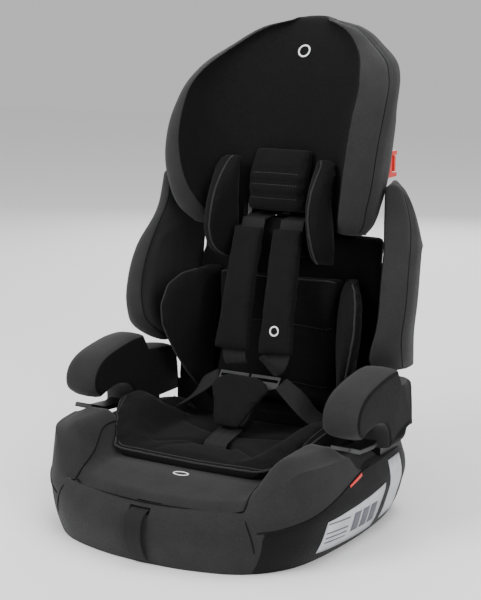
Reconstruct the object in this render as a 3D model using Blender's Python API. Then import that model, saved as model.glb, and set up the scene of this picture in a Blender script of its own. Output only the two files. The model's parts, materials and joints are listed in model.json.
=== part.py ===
"""A high-back child car seat with a five-point harness: booster base, tilting backrest and height-adjustable headrest.

Run it with blender --background --python part.py. Units are metres, +Z is up, the seat faces -Y, and the origin is
the centre of the base's underside. Everything is shown at rest: headrest down, backrest upright, buckle closed.
"""

import math

import bmesh
import bpy
import numpy as np
from mathutils import Matrix, Vector

# ---------------------------------------------------------------- driving dimensions
LEAN = math.radians(9.0)            # the backrest column and the headrest slide lean back by this much
COLUMN_Y = 0.1523                   # where the column's front plane would meet the floor
COLUMN_HALF = 0.095                 # half width of the column
COLUMN_THICK = 0.018
COLUMN_FOOT, COLUMN_TOP = 0.128, 0.568      # along the lean
HINGE = Vector((0.0, 0.200, 0.046))         # the backrest's hinge axis runs along X through this point
ROD_RADIUS = 0.004
TRAVEL_STEP = 0.020                 # pitch of the height rack; the headrest has seven positions
GAP = 0.0004                        # air between pieces that touch
WEB_WIDTH, WEB_THICK = 0.037, 0.0016        # harness webbing
SLOT_X = 0.031                      # the shoulder straps pass through the backrest at plus and minus this X
BUCKLE = Vector((0.0, 0.047, 0.137))        # centre of the buckle
BUCKLE_TILT = math.radians(50.0)            # the buckle leans back, measured from the horizontal

# Outline of the base where it stands on the floor, right half, front to back.
BASE_PLAN = [(0.0, -0.200), (0.060, -0.195), (0.121, -0.178), (0.160, -0.148), (0.184, -0.102), (0.197, -0.020),
             (0.200, 0.060), (0.193, 0.130), (0.172, 0.172), (0.125, 0.183), (0.0, 0.184)]
# How far the base's side and front swell beyond that outline: height, sideways, forwards.
BASE_SWELL = [(0.0004, 0.000, 0.000), (0.018, 0.010, 0.007), (0.045, 0.019, 0.011), (0.066, 0.024, 0.004),
              (0.079, 0.023, -0.007)]

BASE_SHARES = (0.08, 0.35, 0.55, 0.70, 0.80, 0.88, 0.94)    # rings on the base's top, from its centre to its edge
BASE_RINGS = len(BASE_SHARES) + len(BASE_SWELL)

# Headrest, each curve as (height, distance): the inner and outer seams of the padded rim, and the centre's surfaces.
HEAD_RIM_IN_X = [(0.374, 0.094), (0.400, 0.105), (0.436, 0.119), (0.477, 0.127), (0.539, 0.131), (0.585, 0.127),
                 (0.625, 0.100), (0.650, 0.066), (0.668, 0.022)]
HEAD_RIM_IN_Y = [(0.374, 0.156), (0.400, 0.133), (0.436, 0.111), (0.477, 0.103), (0.519, 0.108), (0.558, 0.126),
                 (0.596, 0.158), (0.625, 0.200), (0.650, 0.232), (0.668, 0.256)]
HEAD_RIM_OUT_X = [(0.374, 0.128), (0.389, 0.142), (0.421, 0.156), (0.456, 0.164), (0.500, 0.167), (0.545, 0.165),
                  (0.588, 0.154), (0.611, 0.138), (0.630, 0.112), (0.650, 0.080), (0.668, 0.032)]
HEAD_RIM_OUT_Y = [(0.374, 0.152), (0.400, 0.130), (0.452, 0.121), (0.486, 0.125), (0.519, 0.137), (0.560, 0.165),
                  (0.600, 0.204), (0.630, 0.236), (0.668, 0.265)]
HEAD_BACK_Y = [(0.374, 0.176), (0.420, 0.180), (0.490, 0.191), (0.550, 0.208), (0.600, 0.226), (0.640, 0.246),
               (0.668, 0.268)]
HEAD_REAR_Y = [(0.374, 0.196), (0.490, 0.215), (0.530, 0.2205), (0.555, 0.2245), (0.575, 0.238), (0.595, 0.260),
               (0.620, 0.279), (0.650, 0.289), (0.668, 0.284)]

# Torso wing, right side, in the same way.
WING_IN_X = [(0.198, 0.163), (0.217, 0.168), (0.235, 0.178), (0.265, 0.186), (0.325, 0.186), (0.370, 0.180),
             (0.410, 0.172), (0.450, 0.171)]
WING_IN_Y = [(0.198, 0.128), (0.217, 0.106), (0.235, 0.090), (0.265, 0.089), (0.325, 0.101), (0.370, 0.122),
             (0.410, 0.140), (0.450, 0.143)]
WING_OUT_X = [(0.198, 0.206), (0.217, 0.217), (0.250, 0.221), (0.295, 0.223), (0.340, 0.218), (0.389, 0.205),
              (0.425, 0.198), (0.450, 0.188)]
WING_OUT_Y = [(0.198, 0.140), (0.217, 0.112), (0.250, 0.098), (0.295, 0.106), (0.340, 0.124), (0.389, 0.160),
              (0.425, 0.166), (0.450, 0.164)]
WING_ROOT_X = 0.148                 # the wing starts here, beside the centre pad

# Rim of the infant insert's side bolster and of the head pillow's wing, right side: x, y, z, top to bottom.
BOLSTER_RIM = [(0.122, 0.146, 0.312), (0.142, 0.113, 0.303), (0.152, 0.093, 0.277), (0.152, 0.086, 0.243),
               (0.144, 0.091, 0.209), (0.134, 0.103, 0.178), (0.122, 0.120, 0.148), (0.116, 0.132, 0.134)]
PILLOW_RIM = [(0.067, 0.154, 0.478), (0.071, 0.146, 0.470), (0.072, 0.124, 0.450), (0.072, 0.108, 0.428),
              (0.074, 0.100, 0.400), (0.077, 0.102, 0.372), (0.076, 0.116, 0.347), (0.070, 0.140, 0.333)]

# Side view of the armrest, y and z, from its tip round over the top, and round the belt opening.
ARM_TOP = [(-0.030, 0.149), (-0.044, 0.160), (-0.0465, 0.176), (-0.038, 0.192), (-0.018, 0.204), (0.012, 0.211),
           (0.050, 0.216), (0.078, 0.216)]
ARM_REAR = [(0.090, 0.194), (0.155, 0.184), (0.166, 0.160), (0.170, 0.116)]
ARM_UNDER = [(0.052, 0.116), (0.050, 0.136), (0.036, 0.152), (0.010, 0.158), (-0.014, 0.155)]
ARM_IN, ARM_OUT = 0.1745, 0.2275    # the armrest's inner and outer faces
ARM_CORE_OUT, ARM_CORE_REAR = 0.2120, 0.130

COLOURS = {
    # name: colour, roughness, metallic
    "charcoal_fabric": ((0.050, 0.050, 0.052), 0.90, 0.0),
    "black_fabric": ((0.016, 0.016, 0.018), 0.88, 0.0),
    "webbing": ((0.045, 0.045, 0.047), 0.80, 0.0),
    "black_plastic": ((0.022, 0.022, 0.024), 0.45, 0.0),
    "grey_plastic": ((0.16, 0.16, 0.17), 0.50, 0.0),
    "red_plastic": ((0.72, 0.035, 0.025), 0.35, 0.0),
    "white_foam": ((0.86, 0.86, 0.84), 0.95, 0.0),
    "steel": ((0.55, 0.56, 0.58), 0.30, 1.0),
}


# ---------------------------------------------------------------- geometry helpers
def clear_scene():
    for obj in list(bpy.data.objects):
        bpy.data.objects.remove(obj)


def material(name):
    found = bpy.data.materials.get(name)
    if found:
        return found
    colour, roughness, metallic = COLOURS[name]
    made = bpy.data.materials.new(name)
    made.use_nodes = True
    shader = made.node_tree.nodes["Principled BSDF"]
    shader.inputs["Base Color"].default_value = (*colour, 1.0)
    shader.inputs["Roughness"].default_value = roughness
    shader.inputs["Metallic"].default_value = metallic
    made.diffuse_color = (*colour, 1.0)
    return made


def smooth_step(t):
    t = min(1.0, max(0.0, t))
    return t * t * (3 - 2 * t)


def value_at(curve, z):
    """The curve's value at height z, with a smooth cubic through its points."""
    zs = [p[0] for p in curve]
    vs = [p[1] for p in curve]
    slopes = np.gradient(vs, zs)
    z = min(max(z, zs[0]), zs[-1])
    i = min(max(int(np.searchsorted(zs, z)) - 1, 0), len(zs) - 2)
    h = zs[i + 1] - zs[i]
    t = (z - zs[i]) / h
    a, b = 2 * t**3 - 3 * t**2 + 1, t**3 - 2 * t**2 + t
    return a * vs[i] + b * h * slopes[i] + (1 - a) * vs[i + 1] + (t**3 - t**2) * h * slopes[i + 1]


def smooth_path(points, count):
    """count points evenly along a Catmull-Rom curve through the given points."""
    p = [np.array(q, float) for q in points]
    p = [2 * p[0] - p[1], *p, 2 * p[-1] - p[-2]]
    dense = []
    for i in range(1, len(p) - 2):
        for t in np.linspace(0, 1, 14, endpoint=False):
            dense.append(0.5 * (2 * p[i] + (p[i + 1] - p[i - 1]) * t
                                + (2 * p[i - 1] - 5 * p[i] + 4 * p[i + 1] - p[i + 2]) * t**2
                                + (3 * p[i] - p[i - 1] - 3 * p[i + 1] + p[i + 2]) * t**3))
    dense.append(p[-2])
    return even_points(dense, count)


def even_points(points, count):
    p = np.array(points, float)
    along = np.concatenate([[0], np.cumsum(np.linalg.norm(np.diff(p, axis=0), axis=1))])
    at = np.linspace(0, along[-1], count)
    return np.stack([np.interp(at, along, p[:, k]) for k in range(p.shape[1])], axis=1)


def between(first, second, share):
    return [np.array(a) * (1 - share) + np.array(b) * share for a, b in zip(first, second)]


def solid(name, vertices, faces, look, parent=None, smooth_angle=35):
    """One closed body, its faces turned outwards."""
    mesh = bpy.data.meshes.new(name)
    mesh.from_pydata([tuple(float(c) for c in v) for v in vertices], [], faces)
    form = bmesh.new()
    form.from_mesh(mesh)
    bmesh.ops.remove_doubles(form, verts=form.verts, dist=1e-6)
    bmesh.ops.recalc_face_normals(form, faces=form.faces)
    if form.calc_volume(signed=True) < 0:
        bmesh.ops.reverse_faces(form, faces=form.faces)
    form.to_mesh(mesh)
    form.free()
    mesh.shade_smooth()
    mesh.set_sharp_from_angle(angle=math.radians(smooth_angle))
    mesh.materials.append(material(look))
    obj = bpy.data.objects.new(name, mesh)
    bpy.context.scene.collection.objects.link(obj)
    obj.parent = parent
    return obj


def loft(name, rings, look, parent=None, smooth_angle=35, turn_ring=None):
    """A solid through closed rings with the same number of points, capped at both ends.

    With turn_ring, side faces are split into triangles, and the diagonal changes direction at that ring. The rings
    of an inner skin run back up from there, so both skins split alike and keep their distance."""
    n = len(rings[0])
    vertices = [p for ring in rings for p in ring]
    faces = [list(range(n))[::-1], [(len(rings) - 1) * n + k for k in range(n)]]
    for i in range(len(rings) - 1):
        for k in range(n):
            a, b = i * n + k, i * n + (k + 1) % n
            if turn_ring is None:
                faces.append([a, b, b + n, a + n])
            elif i < turn_ring:
                faces += [[a, b, b + n], [a, b + n, a + n]]
            else:
                faces += [[a, b, a + n], [b, b + n, a + n]]
    return solid(name, vertices, faces, look, parent, smooth_angle)


def prism(name, profile, low, high, look, axis="X", parent=None, bevel=0.0):
    """A closed outline in the two other axes, in X, Y, Z order, extruded from low to high along axis."""
    order = {"X": lambda a, p: (a, p[0], p[1]), "Y": lambda a, p: (p[0], a, p[1]), "Z": lambda a, p: (p[0], p[1], a)}
    place = order[axis]
    obj = loft(name, [[place(low, p) for p in profile], [place(high, p) for p in profile]], look, parent)
    if bevel:
        add_bevel(obj, bevel)
    return obj


def box(name, low, high, look, parent=None, bevel=0.0):
    profile = [(low[0], low[1]), (high[0], low[1]), (high[0], high[1]), (low[0], high[1])]
    return prism(name, profile, low[2], high[2], look, "Z", parent, bevel)


def rod(name, start, end, radius, look, parent=None, sides=12):
    """A round bar between two points."""
    start, end = Vector(start), Vector(end)
    turn = (end - start).to_track_quat("Z", "Y").to_matrix()
    ring = [turn @ Vector((radius * math.cos(a), radius * math.sin(a), 0))
            for a in np.linspace(0, 2 * math.pi, sides, endpoint=False)]
    return loft(name, [[p + start for p in ring], [p + end for p in ring]], look, parent)


def ribbon(name, points, widths, look, across=(1, 0, 0), thick=WEB_THICK, parent=None):
    """Flat webbing along a list of points; across is its width direction, one vector or one for each point."""
    points = [Vector(p) for p in points]
    if not isinstance(across[0], (tuple, list, Vector)):
        across = [across] * len(points)
    if not isinstance(widths, (tuple, list)):
        widths = [widths] * len(points)
    rings = []
    for i, p in enumerate(points):
        along = (points[min(i + 1, len(points) - 1)] - points[max(i - 1, 0)]).normalized()
        side = Vector(across[i])
        side = (side - along * side.dot(along)).normalized()
        face = along.cross(side)
        w, t = side * widths[i] / 2, face * thick / 2
        rings.append([p - w - t, p + w - t, p + w + t, p - w + t])
    return loft(name, rings, look, parent, 40)


def add_bevel(obj, width, segments=2):
    bevel = obj.modifiers.new("Bevel", "BEVEL")
    bevel.width, bevel.segments, bevel.limit_method = width, segments, "ANGLE"
    bevel.angle_limit = math.radians(40)
    return obj


def helper(obj):
    """Marks a cutter, which is not a piece of the seat."""
    obj.hide_render = True
    obj.display_type = "WIRE"
    return obj


def combine(obj, other, operation):
    step = obj.modifiers.new(operation.title(), "BOOLEAN")
    step.operation, step.object, step.solver = operation, helper(other), "EXACT"
    return obj


def cut(obj, *cutters):
    for cutter in cutters:
        combine(obj, cutter, "DIFFERENCE")
    return obj


def join(obj, *others):
    for other in others:
        combine(obj, other, "UNION")
    return obj


def mirrored(points):
    return [(-p[0], *p[1:]) for p in points]


def frame(name, origin, turn):
    """An empty that holds parts modelled in its own axes."""
    empty = bpy.data.objects.new(name, None)
    empty.location = origin
    empty.rotation_euler = turn
    bpy.context.scene.collection.objects.link(empty)
    bpy.context.view_layer.update()
    return empty


def lean_point(x, y, s):
    """World position of a point at y behind the column's front plane and s up the lean."""
    return Vector((x, COLUMN_Y + y * math.cos(LEAN) + s * math.sin(LEAN), s * math.cos(LEAN) - y * math.sin(LEAN)))


def column_y(z):
    """World Y of the column's front plane at height z."""
    return COLUMN_Y + z * math.tan(LEAN)


SIDES = {"left": -1, "right": 1}


# ---------------------------------------------------------------- booster base
def base_outline(count=40):
    """The floor outline as count points, clockwise from the front, with outward directions."""
    half = smooth_path(BASE_PLAN, count // 2 + 1)
    points = list(half) + [np.array((-x, y)) for x, y in half[-2:0:-1]]
    closed = points + points[:2]
    normals = []
    for i in range(len(points)):
        step = closed[i + 1] - closed[i - 1] if i else closed[1] - points[-1]
        normals.append(np.array((step[1], -step[0])) / np.linalg.norm(step))
    return points, normals


def base_top(x, y):
    """Height of the upholstered top of the base."""
    seat = 0.079 + 0.009 * smooth_step((y + 0.19) / 0.09)
    forward = smooth_step((y + 0.185) / 0.065)
    behind = 1 - 0.55 * smooth_step((y + 0.045) / 0.035)
    bolster = 0.050 * smooth_step((abs(x) - 0.112) / 0.048) * forward * behind
    return seat + bolster


def base_rings(inset, drop, foot):
    """Rings from the top's centre out and down to the foot, inset from the visible surface by inset and drop."""
    points, normals = base_outline()
    rings = []
    rim = [p + n * (np.array((BASE_SWELL[-1][1], BASE_SWELL[-1][2])) * np.abs(n)) - n * inset
           for p, n in zip(points, normals)]
    for share in BASE_SHARES:
        rings.append([(p[0] * share, p[1] * share, base_top(p[0] * share, p[1] * share) - drop
                       - 0.010 * smooth_step((share - 0.85) / 0.12)) for p in rim])
    lowest = BASE_SWELL[0][0]
    for height, sideways, forwards in reversed(BASE_SWELL):
        z = foot if height == lowest else height - drop * (height - lowest) / (BASE_SWELL[-1][0] - lowest)
        rings.append([(*(p + n * (np.array((sideways, forwards)) * np.abs(n)) - n * inset), z)
                      for p, n in zip(points, normals)])
    return rings


def arm_profile(inset, floor):
    """Side view of the armrest's plastic core, which stops short of the cover's rear end."""
    outline = [np.array(p) for p in ARM_TOP + ARM_REAR + ARM_UNDER]
    inner = []
    for i, p in enumerate(outline):
        before, after = outline[i - 1], outline[(i + 1) % len(outline)]
        step = (after - before) / np.linalg.norm(after - before)
        inner.append(p + np.array((step[1], -step[0])) * inset)
    rear = ARM_CORE_REAR - inset
    profile = [(min(y, rear), z) for y, z in inner]
    corner = len(ARM_TOP) + len(ARM_REAR) - 1
    return profile[:corner] + [(rear, floor), (ARM_UNDER[1][0] + inset, floor)] + profile[corner + 2:]


def arm_side(y, share):
    """X of the armrest between its inner (0) and outer (1) face; the outer face turns in towards the rear."""
    outer = ARM_OUT - 0.018 * smooth_step((y - 0.09) / 0.07)
    return ARM_IN + (outer - ARM_IN) * share


def slot_cutter(name, x, y, half_x, half_y, low=0.030, high=0.16):
    return box(name, (x - half_x, y - half_y, low), (x + half_x, y + half_y, high), "steel")


def make_base():
    """Shell, padded cover, armrests, belt guides and the rod that the backrest hooks onto."""
    shell_rings = base_rings(0.0092, 0.0255, 0.0) + base_rings(0.0127, 0.0290, 0.0)[::-1]
    shell = loft("base_shell", shell_rings, "black_plastic", turn_ring=BASE_RINGS)
    cover_rings = base_rings(0.0, 0.0, 0.0004) + base_rings(0.0080, 0.0240, 0.0004)[::-1]
    cover = loft("base_cover", cover_rings, "charcoal_fabric", turn_ring=BASE_RINGS)
    rear_window = box("rear_window", (-0.150, 0.150, -0.010), (0.150, 0.230, 0.067), "steel")
    strap_mouth = box("strap_mouth", (-0.018, -0.230, 0.064), (0.018, -0.175, 0.0735), "steel")
    strap_riser = box("strap_riser", (-0.018, -0.188, 0.020), (0.018, -0.168, 0.0735), "steel")
    crotch_slot = slot_cutter("crotch_slot", 0.0, -0.018, 0.023, 0.006)
    hip_slots = [slot_cutter(f"hip_slot_{s}", 0.120 * k, 0.085, 0.006, 0.022) for s, k in SIDES.items()]
    for side, sign in SIDES.items():
        core_profile = arm_profile(0.0062, 0.070)
        core = prism(f"arm_core_{side}", core_profile, sign * (ARM_IN + 0.0062), sign * ARM_CORE_OUT,
                     "black_plastic")
        join(shell, core)
        arm_seat = prism(f"arm_seat_{side}", arm_profile(0.0056, 0.050), sign * (ARM_IN + 0.0056),
                         sign * (ARM_CORE_OUT + 0.0006), "steel")
        cut(cover, arm_seat)
        lug = prism(f"rod_lug_{side}", [(0.150, 0.030), (0.196, 0.030), (0.210, 0.038), (0.210, 0.054),
                                        (0.196, 0.060), (0.150, 0.060)],
                    sign * 0.104, sign * 0.128, "black_plastic")
        join(shell, lug)
    join(shell, box("floor_rib", (-0.1870, -0.0080, 0.0), (0.1870, 0.0080, 0.0110), "black_plastic"))
    rod_hole = rod("rod_hole", (-0.124, HINGE.y, HINGE.z), (0.124, HINGE.y, HINGE.z), ROD_RADIUS + GAP, "steel",
                   sides=16)
    lever_window = box("lever_window", (-0.0255, -0.178, 0.026), (0.0255, -0.103, 0.120), "steel")
    strap_pass = box("strap_pass", (-0.020, 0.150, -0.010), (0.020, 0.240, 0.028), "steel")
    cut(shell, rod_hole, lever_window, strap_riser, crotch_slot, strap_pass)
    cut(cover, rear_window, strap_mouth, strap_riser, crotch_slot, *hip_slots)

    for side, sign in SIDES.items():
        outline = ARM_TOP + ARM_REAR + ARM_UNDER
        rings = [[(sign * arm_side(y, share), y, z) for y, z in outline] for share in (0.0, 1.0)]
        arm = loft(f"armrest_cover_{side}", rings, "charcoal_fabric")
        pocket = prism(f"arm_pocket_{side}", arm_profile(0.0056, 0.100), sign * (ARM_IN + 0.0056),
                       sign * (ARM_CORE_OUT + 0.0006), "steel")
        cut(arm, pocket)
        guide = prism(f"lap_belt_guide_{side}",
                      [(-0.044, 0.1345), (-0.040, 0.1400), (-0.010, 0.1290), (0.030, 0.1250), (0.044, 0.1270),
                       (0.044, 0.1210), (0.030, 0.1185), (-0.012, 0.1225)],
                      sign * 0.186, sign * 0.214, "red_plastic", bevel=0.0012)
        guide["note"] = "hook that holds the vehicle's lap belt down"
    rod("hinge_rod", (-0.1235, HINGE.y, HINGE.z), (0.1235, HINGE.y, HINGE.z), ROD_RADIUS, "steel")


# ---------------------------------------------------------------- upholstery of the seat
def make_seat_insert():
    """Infant seat cushion: a thin centre between thick side bolsters."""
    rows = []
    for y in (-0.088, -0.078, -0.055, -0.030, 0.000, 0.035, 0.075, 0.118):
        flare = smooth_step((y + 0.088) / 0.085)
        edge = 0.128 + 0.040 * flare
        lift = 0.002 + 0.048 * flare * (1 - 0.75 * smooth_step((y - 0.030) / 0.045))
        top, under = [], []
        for share in (-1.0, -0.9, -0.75, -0.55, 0.0, 0.55, 0.75, 0.9, 1.0):
            x = edge * share
            edge_drop = 0.010 if abs(share) == 1.0 else 0.0
            below = base_top(x, y) + 0.0006
            crown = 0.1025 + lift * smooth_step((abs(share) - 0.52) / 0.34)
            top.append((x, y, max(below + 0.0130, crown) - edge_drop))
            under.append((x, y, below))
        rows.append(top + under[::-1])
    insert = loft("seat_insert", rows, "black_fabric")
    cut(insert, loft("insert_relief", base_rings(0.0, -0.0014, 0.003), "steel", turn_ring=BASE_RINGS))
    slot = slot_cutter("insert_crotch_slot", 0.0, -0.018, 0.023, 0.006)
    hips = [slot_cutter(f"insert_hip_slot_{s}", 0.120 * k, 0.085, 0.006, 0.022) for s, k in SIDES.items()]
    cut(insert, slot, *hips)


# ---------------------------------------------------------------- padded wings, used by backrest and headrest
def layer_ring(inner, outer, near, far, skip, z):
    """Ring of the layer between two shares of the way from the inner to the outer face; skip, in points, holds it
    back at the ends."""
    edges = []
    for share in (near, far):
        row = between(inner, outer, share)
        first, last = int(skip[0]), len(row) - 1 - int(skip[1])
        start = row[first].copy()
        row[first] = start + (row[first + 1] - start) * (skip[0] % 1.0)
        end = row[last].copy()
        row[last] = end + (row[last - 1] - end) * (skip[1] % 1.0)
        edges.append(row[first:last + 1])
    return [(x, y, z) for x, y in edges[0]] + [(x, y, z) for x, y in edges[1][::-1]]


def head_pad_ring(z, share):
    """Ring of the headrest's cover: the inner face, hooked round both rims to the outer face."""
    inner, outer = head_faces(z)
    middle = between(inner, outer, share)
    ring = list(inner) + [outer[-1], outer[-2]] + middle[1:-1][::-1] + [outer[1], outer[0]]
    return [(x, y, z) for x, y in ring]


def head_faces(z, count=23):
    """Inner and outer face of the headrest at height z, from the left rim to the right rim."""
    xi, yi = value_at(HEAD_RIM_IN_X, z), value_at(HEAD_RIM_IN_Y, z)
    xo, yo = value_at(HEAD_RIM_OUT_X, z), value_at(HEAD_RIM_OUT_Y, z)
    back, rear = value_at(HEAD_BACK_Y, z), value_at(HEAD_REAR_Y, z)
    inner, outer = [], []
    for t in np.linspace(-math.pi / 2, math.pi / 2, 181):
        s, c = math.sin(t), max(0.0, math.cos(t))
        inner.append((xi * s, yi + (back - yi) * c**0.9))
        outer.append((xo * math.copysign(abs(s) ** 0.5, s), yo + (rear - yo) * c**0.5))
    return even_points(inner, count), even_points(outer, count)


def make_headrest():
    """Plastic shell, energy-absorbing foam and padded cover, in three nested layers."""
    levels = (0.374, 0.3805, 0.398, 0.425, 0.456, 0.490, 0.525, 0.555, 0.574, 0.590, 0.610, 0.630, 0.652, 0.666)
    low, high = 0.3805, 0.630
    pad = []
    for z in levels:
        pad.append(head_pad_ring(z, 0.39 if low <= z <= high else 0.99))
    pad.insert(1, head_pad_ring(low - GAP, 0.99))
    pad.insert(-2, head_pad_ring(high + GAP, 0.99))
    foam, shell = [], []
    for z in levels:
        if low <= z <= high:
            inner, outer = head_faces(z)
            inside = z + (0.0006 if z == low else -0.0006 if z == high else 0.0)
            foam.append(layer_ring(inner, outer, 0.455, 0.80, (1.25, 1.25), inside))
            shell.append(layer_ring(inner, outer, 0.885, 1.0, (1.25, 1.25), inside))
    cover = loft("headrest_cover", pad, "charcoal_fabric")
    liner = loft("headrest_foam", foam, "white_foam")
    back = loft("headrest_shell", shell, "black_plastic")
    for obj in (cover, liner, back):
        notch = box(f"harness_notch_{obj.name}", (-0.062, 0.10, 0.36), (0.062, 0.30, 0.4085), "steel")
        cut(obj, notch)


def make_torso_wings():
    """Side wings of the backrest: foam core and padded cover. Their plastic flanges join the backrest shell."""
    levels = (0.198, 0.2045, 0.217, 0.240, 0.270, 0.305, 0.340, 0.375, 0.405, 0.430, 0.4435, 0.450)
    flanges = []
    for side, sign in SIDES.items():
        pad, foam, flange = [], [], []
        for z in levels:
            inner, outer = wing_faces(z)
            hollow = 0.2040 > z or z > 0.4440
            rows = [inner, outer, between(inner, outer, 0.99 if hollow else 0.44)]
            inner_f, outer_f, middle = ([(sign * p[0], p[1]) for p in row] for row in rows)
            ring = list(inner_f) + [outer_f[-1], outer_f[-2], middle[-2]] + middle[:-2][::-1]
            pad.append([(x, y, z) for x, y in ring])
        pad.insert(1, wing_pad_ring(0.2041, 0.99, sign))
        pad.insert(-1, wing_pad_ring(0.4439, 0.99, sign))
        for z in levels[1:-1]:
            inner, outer = wing_faces(z)
            inside = z + (0.0006 if z == levels[1] else -0.0006 if z == levels[-2] else 0.0)
            foam.append([(sign * x, y, zz) for x, y, zz in layer_ring(inner, outer, 0.50, 0.80, (0.1, 1.3), inside)])
            plate = layer_ring(inner, outer, 0.885, 1.0, (0.0, 1.3), inside)
            flange.append([(sign * x, y, zz) for x, y, zz in plate])
        loft(f"torso_wing_cover_{side}", pad, "charcoal_fabric")
        loft(f"torso_wing_foam_{side}", foam, "white_foam")
        flanges.append(loft(f"wing_flange_{side}", flange, "black_plastic"))
    return flanges


def wing_faces(z, count=9):
    """Inner and outer face of the right torso wing at height z, from its root to its front rim."""
    root = column_y(z)
    inner = [(WING_ROOT_X, root - 0.004), (WING_ROOT_X + 0.006, root - 0.022),
             (value_at(WING_IN_X, z), value_at(WING_IN_Y, z))]
    outer = [(WING_ROOT_X + 0.012, root + 0.0135), (WING_ROOT_X + 0.036, root + 0.010),
             (value_at(WING_OUT_X, z), value_at(WING_OUT_Y, z))]
    return smooth_path(inner, count), smooth_path(outer, count)


def wing_pad_ring(z, share, sign):
    inner, outer = wing_faces(z)
    middle = between(inner, outer, share)
    ring = list(inner) + [outer[-1], outer[-2], middle[-2]] + middle[:-2][::-1]
    return [(sign * p[0], p[1], z) for p in ring]


# ---------------------------------------------------------------- backrest
def make_backrest(lean, flanges):
    """Ribbed plastic column with arms that carry the wings, and the hooks that ride on the hinge rod."""
    shell = box("backrest_shell", (-COLUMN_HALF, 0.0, COLUMN_FOOT), (COLUMN_HALF, COLUMN_THICK, COLUMN_TOP),
                "black_plastic", lean)
    arms = []
    for side, sign in SIDES.items():
        x0, x1 = sorted((sign * 0.090, sign * 0.1680))
        arms.append(box(f"wing_arm_{side}", (x0, 0.0127, 0.2115), (x1, COLUMN_THICK - 0.001, 0.318), "black_plastic",
                        lean))
    join(shell, *arms, *flanges)
    # The rear is a tray of ribs, open to the back.
    for k, x in enumerate((-0.0645, 0.0645)):
        for j, (low, high) in enumerate(((0.150, 0.225), (0.235, 0.310), (0.320, 0.372), (0.412, 0.480), (0.490, 0.556))):
            cut(shell, box(f"rib_pocket_{k}_{j}", (x - 0.0235, 0.004, low), (x + 0.0235, 0.030, high), "steel", lean))
    for side, sign in SIDES.items():
        slot = box(f"strap_slot_{side}", (sign * SLOT_X - 0.024, -0.02, 0.3900), (sign * SLOT_X + 0.024, 0.05, 0.4020),
                   "steel", lean)
        cut(shell, slot)
        join(shell, prism(f"hinge_hook_{side}", hook_profile(), sign * 0.072, sign * 0.094, "black_plastic"))

    pad = box("backrest_pad", (-0.135, -0.0155, 0.118), (0.135, -GAP, 0.3710), "charcoal_fabric", lean, bevel=0.006)
    tongue = box("column_cloth", (-0.090, -0.0052, 0.366), (0.090, -GAP, 0.560), "charcoal_fabric", lean)
    join(pad, tongue)
    for side, sign in SIDES.items():
        cut(pad, box(f"pad_slot_{side}", (sign * SLOT_X - 0.024, -0.05, 0.3890), (sign * SLOT_X + 0.024, 0.05, 0.4030),
                     "steel", lean))
    return shell


def hook_profile():
    """Side view of a hinge hook: an arm from the column down to a C that is open below."""
    y, z, outer, inner = HINGE.y, HINGE.z, 0.0105, ROD_RADIUS + 0.0006
    foot = column_y(COLUMN_FOOT * math.cos(LEAN)) + COLUMN_THICK
    ring_out = [(y + outer * math.cos(a), z + outer * math.sin(a)) for a in np.radians(np.linspace(100, -50, 8))]
    ring_in = [(y + inner * math.cos(a), z + inner * math.sin(a)) for a in np.radians(np.linspace(-50, 230, 12))]
    low = [(y + outer * math.cos(a), z + outer * math.sin(a)) for a in np.radians(np.linspace(230, 175, 4))]
    arm_front = [(y - outer, z + 0.034), (foot + 0.0008, COLUMN_FOOT + 0.010), (foot + 0.0068, COLUMN_FOOT + 0.050)]
    arm_back = [(foot + 0.0150, COLUMN_FOOT + 0.050), (foot + 0.0125, COLUMN_FOOT + 0.005), (y + 0.004, z + 0.030)]
    return ring_out + ring_in + low + arm_front + arm_back


def make_back_insert():
    """Infant back cushion in two parts, with side bolsters."""
    def slab(name, low, high, half, front, levels):
        rings = []
        for i in range(levels):
            z = low + (high - low) * i / (levels - 1)
            pinch = 0.003 if i in (0, levels - 1) else 0.0
            back = column_y(z) - 0.0155 / math.cos(LEAN) - 0.0012 - pinch
            face = front(z) + pinch
            rings.append([(-half, back, z), (-half, face + 0.005, z), (-half + 0.010, face, z), (half - 0.010, face, z),
                          (half, face + 0.005, z), (half, back, z)])
        return loft(name, rings, "black_fabric")

    slab("back_insert_lower", 0.1245, 0.311, 0.098, lambda z: 0.136 + 0.017 * smooth_step((z - 0.12) / 0.10), 6)
    slab("back_insert_upper", 0.3385, 0.3860, 0.052, lambda z: 0.152, 3)
    for side, sign in SIDES.items():
        rings = []
        rim = smooth_path(BOLSTER_RIM, 9)
        for x, y, z in rim:
            root_y = column_y(z) - 0.020
            face = [(0.1000, root_y), (0.112, y + 0.52 * (root_y - y)), (x - 0.006, y + 0.004), (x + 0.002, y)]
            back = [(x + 0.010, y + 0.008), (0.128, y + 0.62 * (root_y - y)), (0.116, root_y + 0.0015)]
            rings.append([(sign * px, py, z) for px, py in face + back])
        loft(f"insert_bolster_{side}", rings, "black_fabric")


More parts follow.
